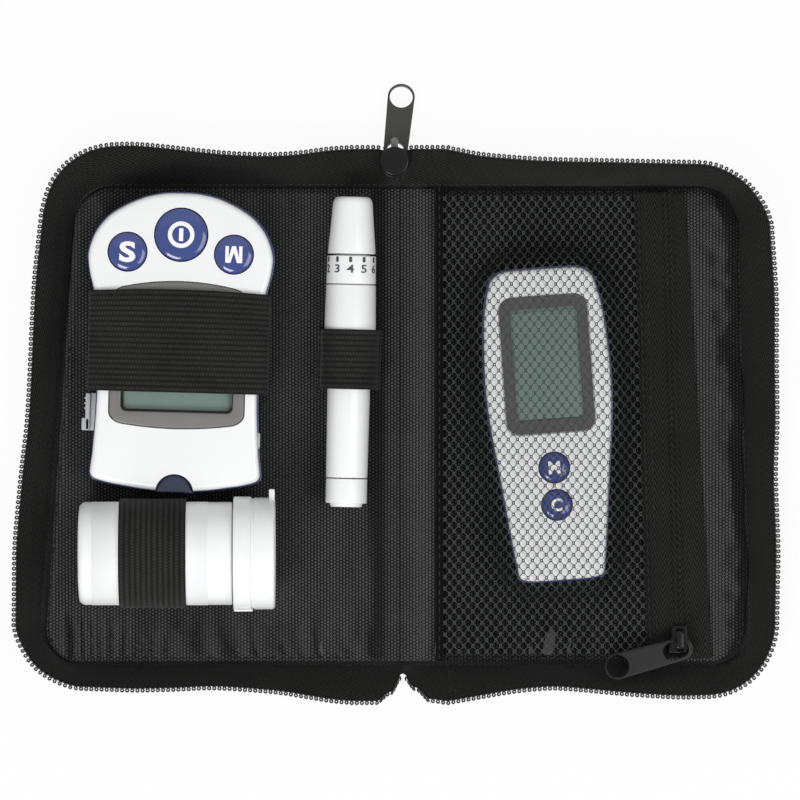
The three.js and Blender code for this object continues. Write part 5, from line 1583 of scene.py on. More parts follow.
def meter_a_slide(meter):
    """The eject slide's thumb piece with its nub and grips outside, and its tongue through the slot."""
    x = -meter["width"] / 2 * SLIDE_SIDE_SHARE - 2 * (BACK_PROUD + REST_GAP)
    low, high, y = SLIDE_LOW, SLIDE_HIGH, SLIDE_Y
    thumb = block(SLIDE_THUMB, SLIDE_LENGTH, low, high, x - SLIDE_THUMB / 2, y, edge=0.35)
    nub_y = y - SLIDE_LENGTH / 3
    nub = block(SLIDE_NUB, SLIDE_NUB_LENGTH, low, high, x - SLIDE_NUB / 2, nub_y, edge=0.4)
    tongue_x = x + SLIDE_TONGUE / 2 - REST_GAP
    tongue = block(SLIDE_TONGUE, SLIDE_LENGTH, low + REST_GAP, SLIDE_TONGUE_HIGH, tongue_x, y, edge=0.1)
    grip_ys = [y + GRIPS_UP + GRIP_PITCH * i for i in range(3)]
    low, high = low + GRIP_INSET, high - GRIP_INSET
    grips = [block(GRIP, GRIP, low, high, x - GRIP_PITCH, grip_y, edge=0.15) for grip_y in grip_ys]
    slide = together(thumb, nub, tongue, *grips)
    node_name = "meter_a_eject_slide"
    on_meter(meter, slide, "meter_a_eject_thumb", pale_grey, [node_name], node_name)
    on_meter(meter, block(**SIDE_RIB, edge=0.5), "meter_a_side_rib", pale_grey)


def meter_a():
    meter, screen = METER_A, SCREEN_A
    meter_a_case(meter, screen)
    for name, x, y, radius in meter["keys"]:
        key(meter, name, x, y, radius)
    power, set_key, memory = meter["keys"]
    key_print(meter, "power_sign", ring_sign(**POWER_SIGN), power)
    key_print(meter, "set_sign", lettering("S", **SET_SIGN), set_key)
    key_print(meter, "memory_sign", memory_sign(**MEMORY_SIGN), memory)
    meter_a_screen(meter, screen)
    meter_a_port(meter)
    meter_a_slide(meter)

    def lay(d, across, z):
        dip = METER_BAND_DIP * (2 * d / meter["width"]) ** 2 * max(across, 0) / (METER_BAND_WIDTH / 2)
        return d, METER_BAND_Y + across - dip, z

    path = saddle_path(METER_BAND_HALF, METER_BAND_TOP, METER_BAND_CORNER, METER_BAND_CROWN)
    elastic_band("meter_band", path, METER_BAND_WIDTH, METER_BAND_RIBS, ((*meter["place"], 0), meter["turn"]),
                 "left_half", ["meter_strap"], lay)


LENS_B_LOW = 15.7
DISPLAY_B = (20, 34, 15.1)
MASK_B = (15.45, 15.65)
METER_B_SIGN = {"size": 5, "thicken": 0.15}
MASK_EDGE = 0.3
MASK_SIDE = 3.2
MASK_END = 4


def meter_b():
    meter, screen = METER_B, SCREEN_B
    top, y = meter["top"], screen["y"]
    width, length = screen["width"], screen["length"]
    meter_shells(meter, screen_holes(screen, top) + key_holes(meter), [])
    for name, x, key_y, radius in meter["keys"]:
        key(meter, name, x, key_y, radius)
    for name, letter, key_of_sign in zip(("mode", "clear"), ("M", "C"), meter["keys"]):
        key_print(meter, f"{name}_sign", lettering(letter, **METER_B_SIGN), key_of_sign)
    lens = plate(screen_outline(screen), LENS_B_LOW, top, top=0.25, foot=0.1)
    on_meter(meter, lens, "meter_b_lens", clear_window, ["meter_b_window"])
    mask = sharp_plate(rounded_box(width - 2 * MASK_EDGE, length - 2 * MASK_EDGE, 3.6, 0, y), *MASK_B)
    opening = rounded_box(width - 2 * MASK_SIDE, length - 2 * MASK_END, 1, 0, y)
    bored(mask, sharp_plate(opening, MASK_B[0] - CUT_PAST, MASK_B[1] + CUT_PAST))
    on_meter(meter, mask, "meter_b_screen_mask", bezel_grey)
    liquid_display(meter, screen, *DISPLAY_B)


meter_a()
meter_b()


# The vial of test strips
VIAL_PLACE = (-94.2, -37.65, 20.4)
VIAL_RADIUS = 15.1
VIAL_LENGTH = 45.1
VIAL_WALL = 1.4
VIAL_CAP_RADIUS = 16.7
VIAL_CAP_LENGTH = 12.5
CAP_SKIRT = 5.1
CAP_GROOVE = 0.5
CAP_RIM = 2.6
PLUG_GAP = 0.5
PLUG_LENGTH = 3
PLUG_WALL = 1.6
LABEL = 0.07
LABEL_START = 4
LABEL_END = 38
LABEL_EDGE = 0.05
LID_TAB = {"width": 1.7, "length": 9, "low": -1.6, "high": 2.2}
TAB_BACK = 0.95
LID_HINGE = {"width": 5.4, "length": 9, "low": -0.3, "high": 0.3}
HINGE_FORWARD = 2.9
HINGE_SUNK = 0.1
VIAL_BAND_START = 12
VIAL_BAND_WIDTH = 19.5
VIAL_BAND_RIBS = 12
VIAL_BAND_GAP = 0.85


def lying_on_x(piece):
    piece.data.transform(Matrix.Rotation(math.pi / 2, 4, "Y"))
    return piece


def vial():
    vial_end, inner = VIAL_LENGTH, VIAL_RADIUS - VIAL_WALL
    tube = turned(softened([
        (0, 0), (inner - 2, 0), (VIAL_RADIUS - 0.9, 0.3), (VIAL_RADIUS, 1.5), (VIAL_RADIUS, vial_end),
        (inner, vial_end), (inner, VIAL_WALL), (0, VIAL_WALL),
    ], 0.6), steps=72)
    settle(lying_on_x(tube), VIAL_PLACE)
    finish(tube, "vial_tube", white_plastic, "left_half", ["vial_body"])
    face = VIAL_RADIUS + LABEL
    wrap = turned([
        (VIAL_RADIUS, LABEL_START), (face, LABEL_START + LABEL_EDGE), (face, LABEL_END - LABEL_EDGE),
        (VIAL_RADIUS, LABEL_END),
    ], steps=72)
    settle(lying_on_x(wrap), VIAL_PLACE)
    finish(wrap, "vial_label", label_paper, "left_half", angle=60)

    start, end, plug = vial_end + REST_GAP, vial_end + VIAL_CAP_LENGTH, inner - PLUG_GAP
    cap, groove, skirt = VIAL_CAP_RADIUS, VIAL_CAP_RADIUS - CAP_GROOVE, start + CAP_SKIRT
    lid = turned(softened([
        (0, end - PLUG_WALL), (plug - PLUG_WALL, end - PLUG_WALL), (plug - PLUG_WALL, start - PLUG_LENGTH),
        (plug, start - PLUG_LENGTH), (plug, start), (cap, start), (cap, skirt), (groove, skirt + 0.25),
        (groove, skirt + 0.9), (cap - 0.3, skirt + 1.1), (cap - 0.35, end - 0.7), (cap - 0.9, end),
        (cap - CAP_RIM, end), (cap - CAP_RIM - 0.6, end - CAP_GROOVE), (0, end - CAP_GROOVE),
    ], 0.35), steps=72)
    lying_on_x(lid)
    tab = block(**LID_TAB, edge=0.4)
    lift = Matrix.Translation(Vector((end - TAB_BACK, cap, 0)) * MM)
    tab.data.transform(lift @ Matrix.Rotation(-math.pi / 2, 4, "X"))
    hinge = block(**LID_HINGE, edge=0.15)
    drop = Matrix.Translation(Vector((start + HINGE_FORWARD, HINGE_SUNK - cap, 0)) * MM)
    hinge.data.transform(drop @ Matrix.Rotation(math.pi / 2, 4, "X"))
    settle(together(lid, tab, hinge), VIAL_PLACE)
    finish(lid, "vial_lid", white_plastic, "vial_cap", ["vial_cap"])
    x, y, z = VIAL_PLACE
    place = (x + VIAL_BAND_START + VIAL_BAND_WIDTH / 2, y, 0)
    path = arch_path(VIAL_RADIUS + VIAL_BAND_GAP, z)
    elastic_band("vial_band", path, VIAL_BAND_WIDTH, VIAL_BAND_RIBS, (place, 0), "left_half", ["vial_strap"],
                 lambda d, across, height: (across, -d, height))


# The lancing pen
PEN_LEAN = math.radians(-1.3)
PEN_PLACE = (-14.85, 21.5, 11.3)
PEN_END = 45.6
CAP_LENGTH = 17.1
DIAL_LENGTH = 8.2
DIAL_BORE = 5.8
COLLAR_LENGTH = 17
COLLAR_RADIUS = 7.3
COLLAR_SWELL = 0.3
COLLAR_SLOPE = 2
TAIL_RADIUS = 6.1
TAPER = 0.15
TAIL_STRAIGHT = 20
ROD_HOLE = 2.2
PEN_WALL = 1.6
PEN_BORE = 5
NECK_RADIUS = 5.5
NOSE_RADIUS = 4.35
NOSE_BORE = 3.9
NOSE_LENGTH = 5
CAP_BORE = 4.65
CAP_END = 1.1
CAP_EYE = 1.4
TIP_RADIUS = 4.6
SLEEVE_TIP = 4.5
TRIGGER_PROFILE = [(0, -7.1), (1.9, -7.1), (2.6, -6.6), (2.6, -5.6), (0, -5.6)]
DIAL_FIGURE = {"size": 3.3, "thicken": 0.05, "wide": 1.35}
DIAL_MARK = {"width": 0.95, "length": 1.7, "radius": 0.45}
SLEEVE_LENGTH = 8.3
SLEEVE_STEP = 1.1
SLEEVE_BORE = 4.8
ROD_RADIUS = 1.9
TRIGGER_HOLE = 2.9
TRIGGER_HOLE_LOW = -9
TRIGGER_HOLE_HIGH = -3
TRIGGER_Y = -18
FIRST_FIGURE = -101
FIGURE_TURN = 33
FIGURE_UP = 4.4
FIGURE_SUNK = 0.06
MARK_UP = 7.1
MARK_SUNK = 0.11
PEN_BAND_WIDTH = 17.4
PEN_BAND_RIBS = 11
PEN_BAND_RADIUS = 8.35
PEN_BAND_UP = 3.8
SPRING_RADIUS = 3.9
SPRING_WIRE = 0.45
SPRING_LENGTH = 28


def lying_on_y(piece):
    piece.data.transform(Matrix.Rotation(-math.pi / 2, 4, "X"))
    return piece


def on_pen(piece, name, material, body, stands_for=(), angle=38):
    """Leans a piece made about the pen's middle as the pen lies, and finishes it."""
    return finish(settle(piece, PEN_PLACE, PEN_LEAN), name, material, body, stands_for, angle)


def pen_part(profile, name, body, stands_for, radius=0.3):
    piece = lying_on_y(turned(softened(profile, radius)))
    return on_pen(piece, name, white_plastic, body, [stands_for])


PEN_PRINT = 0.05
PEN_PRINT_SUNK = 0.02


def around_pen(shape, radius, y, angle):
    """Bends a thin flat shape round the pen, facing up where the angle is nought."""
    for vertex in shape.data.vertices:
        turn = angle + vertex.co.x / (radius * MM)
        reach = (radius + (PEN_PRINT if vertex.co.z > 0 else -PEN_PRINT_SUNK)) * MM
        vertex.co = (reach * math.sin(turn), vertex.co.y + y * MM, reach * math.cos(turn))
    return shape


def drive_spring(start):
    """The spring inside, made at one length, though the real one shortens as the rear sleeve is drawn back.
    """
    turns, steps = 8, 20
    length = SPRING_LENGTH - 2 * SPRING_WIRE
    points = []
    for i in range(turns * steps + 1):
        angle = 2 * math.pi * i / steps
        y = start + SPRING_WIRE + length * i / (turns * steps)
        points.append((SPRING_RADIUS * math.cos(angle), y, SPRING_RADIUS * math.sin(angle)))
    coil = settle(wire(points, SPRING_WIRE, "pen_spring", sides=3), PEN_PLACE, PEN_LEAN)
    finish(coil, "pen_spring", bright_steel, stands_for=["pen_drive_spring"], angle=60)
    lean = Matrix.Rotation(PEN_LEAN, 4, "Z")
    ends = [(Vector(PEN_PLACE) + lean @ Vector((0, start + y, 0))) * MM for y in (0, SPRING_LENGTH)]
    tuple(ends[0])
    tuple(ends[1])
    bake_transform(coil)


def dial_figures(dial_start):
    """The numbers 1 to 6 round the dial, each with its mark."""
    for i, digit in enumerate("123456"):
        turn = math.radians(FIRST_FIGURE + FIGURE_TURN * i)
        figure = lettering(digit, **DIAL_FIGURE)
        around_pen(figure, COLLAR_RADIUS - FIGURE_SUNK, dial_start + FIGURE_UP, turn)
        mark = thin(rounded_box(**DIAL_MARK, steps=4))
        around_pen(mark, COLLAR_RADIUS - MARK_SUNK, dial_start + MARK_UP, turn)
        for piece, kind in ((figure, "figure"), (mark, "mark")):
            on_pen(piece, f"dial_{kind}_{digit}", print_grey, "pen_depth_dial", angle=0)


def pen():
    cap_start = PEN_END - CAP_LENGTH
    dial_top = cap_start - REST_GAP
    dial_start = dial_top - DIAL_LENGTH
    collar_top = dial_start - REST_GAP
    collar_start = collar_top - COLLAR_LENGTH
    tail = SLEEVE_LENGTH - PEN_END + REST_GAP
    inside = tail + PEN_WALL
    body = pen_part([
        (ROD_HOLE, tail), (TAIL_RADIUS, tail), (TAIL_RADIUS + TAPER, tail + TAIL_STRAIGHT),
        (TAIL_RADIUS + 2 * TAPER, collar_start - COLLAR_SLOPE), (COLLAR_RADIUS, collar_start),
        (COLLAR_RADIUS + COLLAR_SWELL, collar_start + COLLAR_SLOPE), (COLLAR_RADIUS, collar_top),
        (NECK_RADIUS, collar_top), (NECK_RADIUS, cap_start), (NOSE_RADIUS, cap_start),
        (NOSE_RADIUS, cap_start + NOSE_LENGTH), (NOSE_BORE, cap_start + NOSE_LENGTH), (NOSE_BORE, dial_top),
        (PEN_BORE, dial_start), (PEN_BORE, inside), (ROD_HOLE, inside), (ROD_HOLE, tail),
    ], "pen_body", "left_half", "pen_barrel")
    trigger_hole = cylinder(TRIGGER_HOLE, TRIGGER_HOLE_LOW, TRIGGER_HOLE_HIGH, 0, TRIGGER_Y)
    bored(body, settle(trigger_hole, PEN_PLACE, PEN_LEAN))
    drive_spring(inside + REST_GAP)
    pen_part([
        (DIAL_BORE, dial_start), (COLLAR_RADIUS, dial_start), (COLLAR_RADIUS - TAPER, dial_top),
        (DIAL_BORE, dial_top), (DIAL_BORE, dial_start),
    ], "pen_dial_ring", "pen_depth_dial", "pen_depth_dial", radius=0.2)
    dial_figures(dial_start)
    cap_foot, cap_inside = cap_start + REST_GAP, PEN_END - CAP_END
    pen_part([
        (CAP_BORE, cap_foot), (COLLAR_RADIUS - 0.25, cap_foot), (5.8, PEN_END - 1.6), (5.3, PEN_END - 0.5),
        (TIP_RADIUS, PEN_END), (CAP_EYE, PEN_END), (CAP_EYE, cap_inside), (CAP_BORE, cap_inside),
        (CAP_BORE, cap_foot),
    ], "pen_nose_cap", "left_half", "pen_cap", radius=0.45)
    sleeve_end, step = SLEEVE_LENGTH - PEN_END, SLEEVE_STEP - PEN_END
    pen_part([
        (0, -PEN_END), (SLEEVE_TIP, -PEN_END), (4.72, 0.4 - PEN_END), (4.72, step), (TAIL_RADIUS, step),
        (TAIL_RADIUS, sleeve_end), (SLEEVE_BORE, sleeve_end), (SLEEVE_BORE, step + SLEEVE_STEP),
        (ROD_RADIUS, step + SLEEVE_STEP), (ROD_RADIUS, step), (0, step),
    ], "pen_cocking_barrel", "pen_cocking", "pen_cocking_sleeve")
    release = lying_on_y(turned(softened(TRIGGER_PROFILE, 0.3)))
    release.data.transform(Matrix.Rotation(math.pi / 2, 4, "X"))
    release.data.transform(Matrix.Translation(Vector((0, TRIGGER_Y, 0)) * MM))
    node_name = "pen_release_button"
    on_pen(release, "pen_trigger", pale_grey, node_name, [node_name])
    x, y, z = PEN_PLACE
    loop_y = collar_start + PEN_BAND_UP - PEN_BAND_WIDTH / 2
    off = Matrix.Rotation(PEN_LEAN, 4, "Z") @ Vector((0, loop_y, 0))
    elastic_band("pen_band", arch_path(PEN_BAND_RADIUS, z, flare=0.9), PEN_BAND_WIDTH, PEN_BAND_RIBS,
                 ((x + off.x, y + off.y, 0), PEN_LEAN), "left_half", ["pen_loop"],
                 lambda d, across, height: (d, across, height))


vial()
pen()


# The net pocket over the right half
def share_at(shares, t):
    t = max(-1, min(1, t))
    for (high, first), (low, second) in zip(shares, shares[1:]):
        if low <= t <= high:
            return second + (first - second) * (t - low) / (high - low)
    return shares[-1][1]


NET_SAG = 0.12


def net_height(x, y):
    """The net lies flat, and rises over the meter under it."""
    dx, dy = x - METER_B["place"][0], y - METER_B["place"][1]
    c, s = math.cos(METER_B["turn"]), math.sin(METER_B["turn"])
    across, along = dx * c + dy * s, dy * c - dx * s
    width, length = (METER_B[size] / 2 + BACK_PROUD for size in ("width", "length"))
    aside = max(abs(across) - width * share_at(METER_B["shares"], along / length) - REST_GAP, 0)
    beyond = max(abs(along) - length - REST_GAP, 0)
    away = math.hypot(aside, beyond) / NET_SLOPE
    sag = NET_SAG * noise.noise(Vector((x / 7, y / 9, 3)))
    return NET_Z + NET_RISE * (1 - smooth(away)) + sag


# Corners of a hole and of an eye about their middles, and how far apart the holes and their rows lie
HOLE_CORNERS = [
    (0.92, -0.41), (0.92, 0.41), (0.26, 1.17), (-0.26, 1.17), (-0.92, 0.41), (-0.92, -0.41), (-0.26, -1.17),
    (0.26, -1.17),
]
EYE_CORNERS = [(0.18, 0), (0, 0.3), (-0.18, 0), (0, -0.3)]
NET_PITCH = 2.65
NET_ROWS_PITCH = 1.69
NET_THREAD = 0.2
NET_END = HEAD_Y - LINING_INSET
NET_FIRST_ROW = 1.2
NET_FIRST_HOLE = 0.9
NET_LAST_HOLE = 1.5


def net_mesh():
    """Rows of staggered holes between crossing threads, with a small eye between neighbours."""
    rows = int(2 * (NET_END - NET_FIRST_ROW) / NET_ROWS_PITCH)
    columns = int((net_end(0) - NET_START - NET_LAST_HOLE) / NET_PITCH)
    points, index, faces = [], {}, []

    def corner(kind, i, j, k):
        name = (kind, i, j, k)
        if name not in index:
            dx, dy = (HOLE_CORNERS if kind == "hole" else EYE_CORNERS)[k]
            y = NET_FIRST_ROW - NET_END + j * NET_ROWS_PITCH + dy
            over = i + (0.5 if j % 2 else 0) + (0.5 if kind == "eye" else 0)
            stretch = (net_end(y) - NET_START) / (net_end(0) - NET_START)
            x = NET_START + (NET_FIRST_HOLE + over * NET_PITCH + dx) * stretch
            index[name] = len(points)
            points.append((x, y, net_height(x, y)))
        return index[name]

    def hole(place, *corners):
        return [corner("hole", *place, k) for k in corners]

    def on(i, j):
        return 0 <= j <= rows and 0 <= i <= columns

    for j in range(rows + 1):
        for i in range(columns + 1):
            here, beside, odd = (i, j), (i + 1, j), j % 2
            up_right, up_left, down_right = (i + odd, j + 1), (i + odd - 1, j + 1), (i + odd, j - 1)
            if on(*up_right):
                faces.append(hole(here, 1) + hole(up_right, 6, 5) + hole(here, 2))
            if on(*up_left):
                faces.append(hole(here, 3) + hole(up_left, 0, 7) + hole(here, 4))
            if on(*beside) and on(*up_right) and on(*down_right):
                ring = hole(beside, 5, 4) + hole(up_right, 7, 6) + hole(here, 1, 0) + hole(down_right, 3, 2)
                eye = [corner("eye", i, j, k) for k in range(4)]
                for k in range(4):
                    faces.append([eye[k], ring[2 * k], ring[2 * k + 1]])
                    faces.append([eye[k], ring[2 * k + 1], ring[(2 * k + 2) % 8], eye[(k + 1) % 4]])
    mesh = bpy.data.meshes.new("net")
    mesh.from_pydata([Vector(p) * MM for p in points], [], faces)
    layer = mesh.uv_layers.new(name="cloth")
    for loop in mesh.loops:
        layer.data[loop.index].uv = points[loop.vertex_index][:2]
    smooth_faces(mesh)
    return thickened(added("net", mesh), NET_THREAD)


def strip_rows(near, far, height, columns=16, rows=110, end=POCKET_END):
    """Rows of points over a strip that runs the length of the pocket."""
    out = []
    for r in range(rows + 1):
        y = -end + 2 * end * r / rows
        start, width = near(y), far(y) - near(y)
        xs = [start + width * c / columns for c in range(columns + 1)]
        out.append([(x, y, height(x, y, c / columns)) for c, x in enumerate(xs)])
    return out


POCKET_TAPE_CLOTH = 0.6
TAPE_EDGE_LIFT = 0.22
TAPE_EDGE_GAP = 0.1
ZIP_LINE_STEPS = 480
ZIP_LINE_PITCH = 1.25
ZIP_LINE_BUMP = 0.07
ZIP_LINE_THICKNESS = 0.5
# The closed zip's ridge: across and up, with a groove down its middle
ZIP_LIPS = [
    (-1.62, -0.02), (-1.3, 0.42), (-0.9, 0.66), (-0.5, 0.7), (-0.2, 0.6), (-0.07, 0.3), (0, 0.05),
    (0.07, 0.3), (0.2, 0.6), (0.5, 0.7), (0.9, 0.66), (1.3, 0.42), (1.62, -0.02),
]
ZIP_LIP_TOP = 0.3
NET_HEM = 0.5
NET_HEM_WIDTH = 2
NET_HEM_END = 0.1
NET_HEM_START = 0.4
NET_HEM_CROWN = 0.15
HEM_STITCHES_LIFT = 0.4
NET_STITCHES_IN = 0.9
NET_STITCHES_LIFT = 0.3
TAPE_STITCHES_IN = 1.2
TAPE_STITCHES_LIFT = 0.42


def pocket_tape(name, near, far, height):
    """One tape of the pocket's zip."""
    rows = strip_rows(near, far, height)
    piece_name = f"pocket_tape_{name}_cloth"
    tape = panel_cloth(piece_name, rows, POCKET_TAPE_CLOTH)
    finish(tape, piece_name, zip_cloth, "right_half", [f"pocket_tape_{name}"], angle=0)
    declare_panel(rows)


def pocket_zip():
    """The two tapes, lifted at the edges that meet, and the closed zip between them."""
    half_gap = POCKET_COIL / 2 + TAPE_EDGE_GAP

    def inner_height(x, y, t):
        return POCKET_TAPE_Z + ripple(x, y, *INNER_TAPE_RIPPLE) + TAPE_EDGE_LIFT * smooth((t - 0.86) / 0.1)

    def outer_height(x, y, t):
        lift = TAPE_EDGE_LIFT * (1 - smooth((t - 0.08) / 0.12))
        return POCKET_TAPE_Z + ripple(x, y, *OUTER_TAPE_RIPPLE) + lift

    inner_start = lambda y: zip_x(y) - half_gap - REST_GAP - POCKET_TAPE_WIDTH
    pocket_tape("inner", inner_start, lambda y: zip_x(y) - half_gap, inner_height)
    pocket_tape("outer", lambda y: zip_x(y) + half_gap, outer_tape_end, outer_height)
    rows = []
    for r in range(ZIP_LINE_STEPS + 1):
        y = -POCKET_END + 2 * POCKET_END * r / ZIP_LINE_STEPS
        bump = ZIP_LINE_BUMP * math.sin(2 * math.pi * y / ZIP_LINE_PITCH)
        lips = [(x, z + bump if z > ZIP_LIP_TOP else z) for x, z in ZIP_LIPS]
        rows.append([(zip_x(y) + x, y, POCKET_TAPE_Z + z) for x, z in lips])
    line = panel_cloth("pocket_zip_line", rows, ZIP_LINE_THICKNESS)
    finish(line, "pocket_zip_line", zip_cloth, "right_half", ["pocket_coil"], angle=0)


def pocket():
    net = finish(net_mesh(), "pocket_net", net_thread, "right_half", ["mesh_panel"], angle=0)
    width, length = (net_end(0) - NET_START) * MM, 2 * NET_END * MM
    pocket_zip()

    end, start = NET_END - NET_HEM_END, NET_START - NET_HEM_START

    def hem_height(x, y, t):
        crown = NET_HEM_CROWN * math.sin(math.pi * t)
        return NET_Z + crown + ripple(start + NET_HEM_START / 2, y, *HEM_RIPPLE)

    far = start + NET_HEM_WIDTH
    hem = strip_rows(lambda y: start, lambda y: far, hem_height, columns=8, rows=90, end=end)
    cloth_hem = panel_cloth("net_fold_hem", hem, NET_HEM)
    finish(cloth_hem, "net_fold_hem", lining_cloth, "right_half", angle=0)
    middle = [(*row[4][:2], row[4][2] + HEM_STITCHES_LIFT) for row in hem]
    stitches("net_fold_hem_stitches", middle, "right_half")
    places = (1 - end, 0, end - 1)
    line = [(net_end(y) - NET_STITCHES_IN, y, NET_Z + NET_STITCHES_LIFT) for y in places]
    stitches("net_tape_stitches", line, "right_half")
    line = [(net_end(y) + TAPE_STITCHES_IN, y, POCKET_TAPE_Z + TAPE_STITCHES_LIFT) for y in places]
    stitches("pocket_tape_stitches", line, "right_half")


pocket()


# Zip sliders and pulls
PLATE = 1
PLATE_RADIUS = 4.25
DISC_RADIUS = 4.35
BRIDGE_WIDTH = 2.2
BRIDGE_LEG = 1.2
BRIDGE_RISE = 3.6
BRIDGE_BAR = 1.2
BRIDGE_SHOULDER = 1.1
BRIDGE_CORNER = 0.5
BRIDGE_FOOT = 0.3
BRIDGE_SPREAD = 0.6
PULL_LENGTH = 27.4
PULL_WIDTH = 8
PULL_WAIST = 7
PULL_THICKNESS = 1.4
PULL_EYE = 3.4
PULL_SLOT = 2.65
PULL_SLOT_LENGTH = 2.7
PULL_SLOT_FOOT = 2.5
PULL_LEAN = 0.06
SLIDER_LENGTH = 8.8
SLIDER_OUT = 2.3
SLIDER_X = -1.6
SLIDER_TAIL = HEAD_Y + SLIDER_OUT
SLIDER_NOSE = SLIDER_TAIL + SLIDER_LENGTH
SLIDER_GAP = 1.3
SLIDER_NOSE_ROUND = 1.9
SLIDER_NOSE_START = 2.2
SLIDER_SIDE_SHARE = 0.96
SLIDER_NOSE_SHARE = 0.5
DISC_PAST_NOSE = 0.5
DISC_THICKNESS = 1.3
SHOULDERS_SUNK = 0.35
SHOULDERS_RISE = 0.3
SLIDER_POST = {"width": 2, "length": 2}
SLIDER_POST_INTO = 0.2
SLIDER_LIP = {"width": 2.1, "length": 4.8, "radius": 0.9}
LIP_PAST_NOSE = 0.9
LIP_ABOVE = 0.15
LIP_BELOW = 0.1
BRIDGE_SPAN = BRIDGE_LEG + PULL_WIDTH / 2 + REST_GAP


def pull_piece(name, where, turn, tilt, finish_with):
    """A long pull with an eye at its far end and a slot at its near end."""
    near, far = PULL_WIDTH / 2, PULL_LENGTH - PULL_WIDTH
    foot, half = PULL_WAIST / 2, PULL_THICKNESS / 2
    outline = arc(0, foot - near, foot, math.pi, 2 * math.pi, 20)
    outline += arc(0, far, near, -PULL_LEAN, math.pi + PULL_LEAN, 28)
    blade = plate(outline, -half, half, top=0.28, foot=0.28)
    slot = arc(0, 0, PULL_SLOT_FOOT, math.pi, 2 * math.pi, 14)
    slot += arc(0, PULL_SLOT_LENGTH, PULL_SLOT, 0, math.pi, 14)
    bored(blade, sharp_plate(slot, -CUT_PAST, CUT_PAST), cylinder(PULL_EYE, -CUT_PAST, CUT_PAST, 0, far))
    blade.data.transform(Matrix.Rotation(tilt, 4, "X"))
    node_name = name.replace("_zip", "")
    finish(settle(blade, where, turn), name, finish_with, node_name, [node_name])


def slider_bridge():
    """A staple over a slider, its shoulders rounded, standing at nought and reaching up."""
    leg, low, far, up = BRIDGE_LEG / 2, -BRIDGE_FOOT, BRIDGE_SPAN - BRIDGE_LEG / 2, BRIDGE_RISE
    shoulder_z, shoulder_y = up + BRIDGE_BAR - BRIDGE_SHOULDER, leg + REST_GAP
    quarter, half_turn = math.pi / 2, math.pi
    outline = [(-leg, low), (-leg, up - BRIDGE_SPREAD)]
    outline += arc(shoulder_y, shoulder_z, BRIDGE_SHOULDER, half_turn, quarter, 6)
    outline += arc(far - REST_GAP, shoulder_z, BRIDGE_SHOULDER, quarter, 0, 6)
    outline += [(far + BRIDGE_LEG, up - BRIDGE_SPREAD), (far + BRIDGE_LEG, low)]
    corner = BRIDGE_CORNER
    gap = [(leg, -1)] + arc(leg + corner, up - corner, corner, half_turn, quarter, 4)
    gap += arc(far - corner, up - corner, corner, quarter, 0, 4) + [(far, -1)]
    staple = plate(outline[::-1], -BRIDGE_WIDTH / 2, BRIDGE_WIDTH / 2, top=0.35, foot=0.35, segments=2)
    bored(staple, sharp_plate(gap[::-1], -BRIDGE_WIDTH, BRIDGE_WIDTH))
    staple.data.transform(Matrix(((0, 0, 1, 0), (1, 0, 0, 0), (0, 1, 0, 0), (0, 0, 0, 1))))
    return staple


def main_slider():
    x, nose, nose_round = SLIDER_X, SLIDER_NOSE, SLIDER_NOSE_ROUND
    side, nose_x = PLATE_RADIUS * SLIDER_SIDE_SHARE, PLATE_RADIUS * SLIDER_NOSE_SHARE
    start, quarter = nose - SLIDER_NOSE_START, math.pi / 2
    outline = arc(x, SLIDER_TAIL + PLATE_RADIUS, PLATE_RADIUS, math.pi, 2 * math.pi, 24)
    outline += [(x + side, start)] + arc(x + nose_x, nose - nose_round, nose_round, 0, quarter, 6)
    outline += arc(x - nose_x, nose - nose_round, nose_round, quarter, math.pi, 6) + [(x - side, start)]
    low, high = RIM_HEIGHT - SLIDER_GAP, RIM_HEIGHT + SLIDER_GAP
    bottom = low - PLATE
    disc = arc(x, nose + DISC_PAST_NOSE - DISC_RADIUS, DISC_RADIUS, 0, 2 * math.pi, 56)[:-1]
    upper = plate(disc, high, high + DISC_THICKNESS, top=0.7, foot=0.15, segments=5)
    lower = plate(outline, bottom, low, top=0.15, foot=0.45, segments=4)
    shoulders = plate(outline, high - SHOULDERS_SUNK, high + SHOULDERS_RISE, top=0.25, foot=0.1)
    post_low, post_high = low - SLIDER_POST_INTO, high + SLIDER_POST_INTO
    post_y = nose - SLIDER_POST["length"] / 2
    post = block(**SLIDER_POST, low=post_low, high=post_high, x=x, y=post_y, edge=0.1)
    lip_outline = rounded_box(**SLIDER_LIP, x=x, y=nose + LIP_PAST_NOSE)
    lip = plate(lip_outline, bottom + LIP_ABOVE, low - LIP_BELOW)
    finish(lip, "main_zip_slider_lip", pale_lacquer, "spine")
    staple = slider_bridge()
    hung = Matrix.Translation(Vector((x, SLIDER_TAIL + BRIDGE_SPAN, bottom)) * MM)
    staple.data.transform(hung @ Matrix.Rotation(math.pi, 4, "X"))
    made = together(upper, lower, shoulders, post, staple)
    finish(made, "main_zip_slider", black_lacquer, "spine", ["main_slider"])


POCKET_SLIDER_UP = 4.2
POCKET_SLIDER_Y = POCKET_SLIDER_UP - HEAD_Y
POCKET_SLIDER_RISE = 1.4
POCKET_SLIDER_OUTLINE = [
    (-3.5, -1.2), (3.5, -1.2), (3.15, 2.4), (2.4, 3.6), (2.5, 6.4), (1.9, 7), (-1.9, 7), (-2.5, 6.4),
    (-2.4, 3.6), (-3.15, 2.4),
]
RAIL = {"width": 0.5, "length": 7, "y": 3.5, "low": FLOOR_Z + POCKET_TAPE + REST_GAP}
RAIL_X = 2.05
RAIL_INTO = 0.5


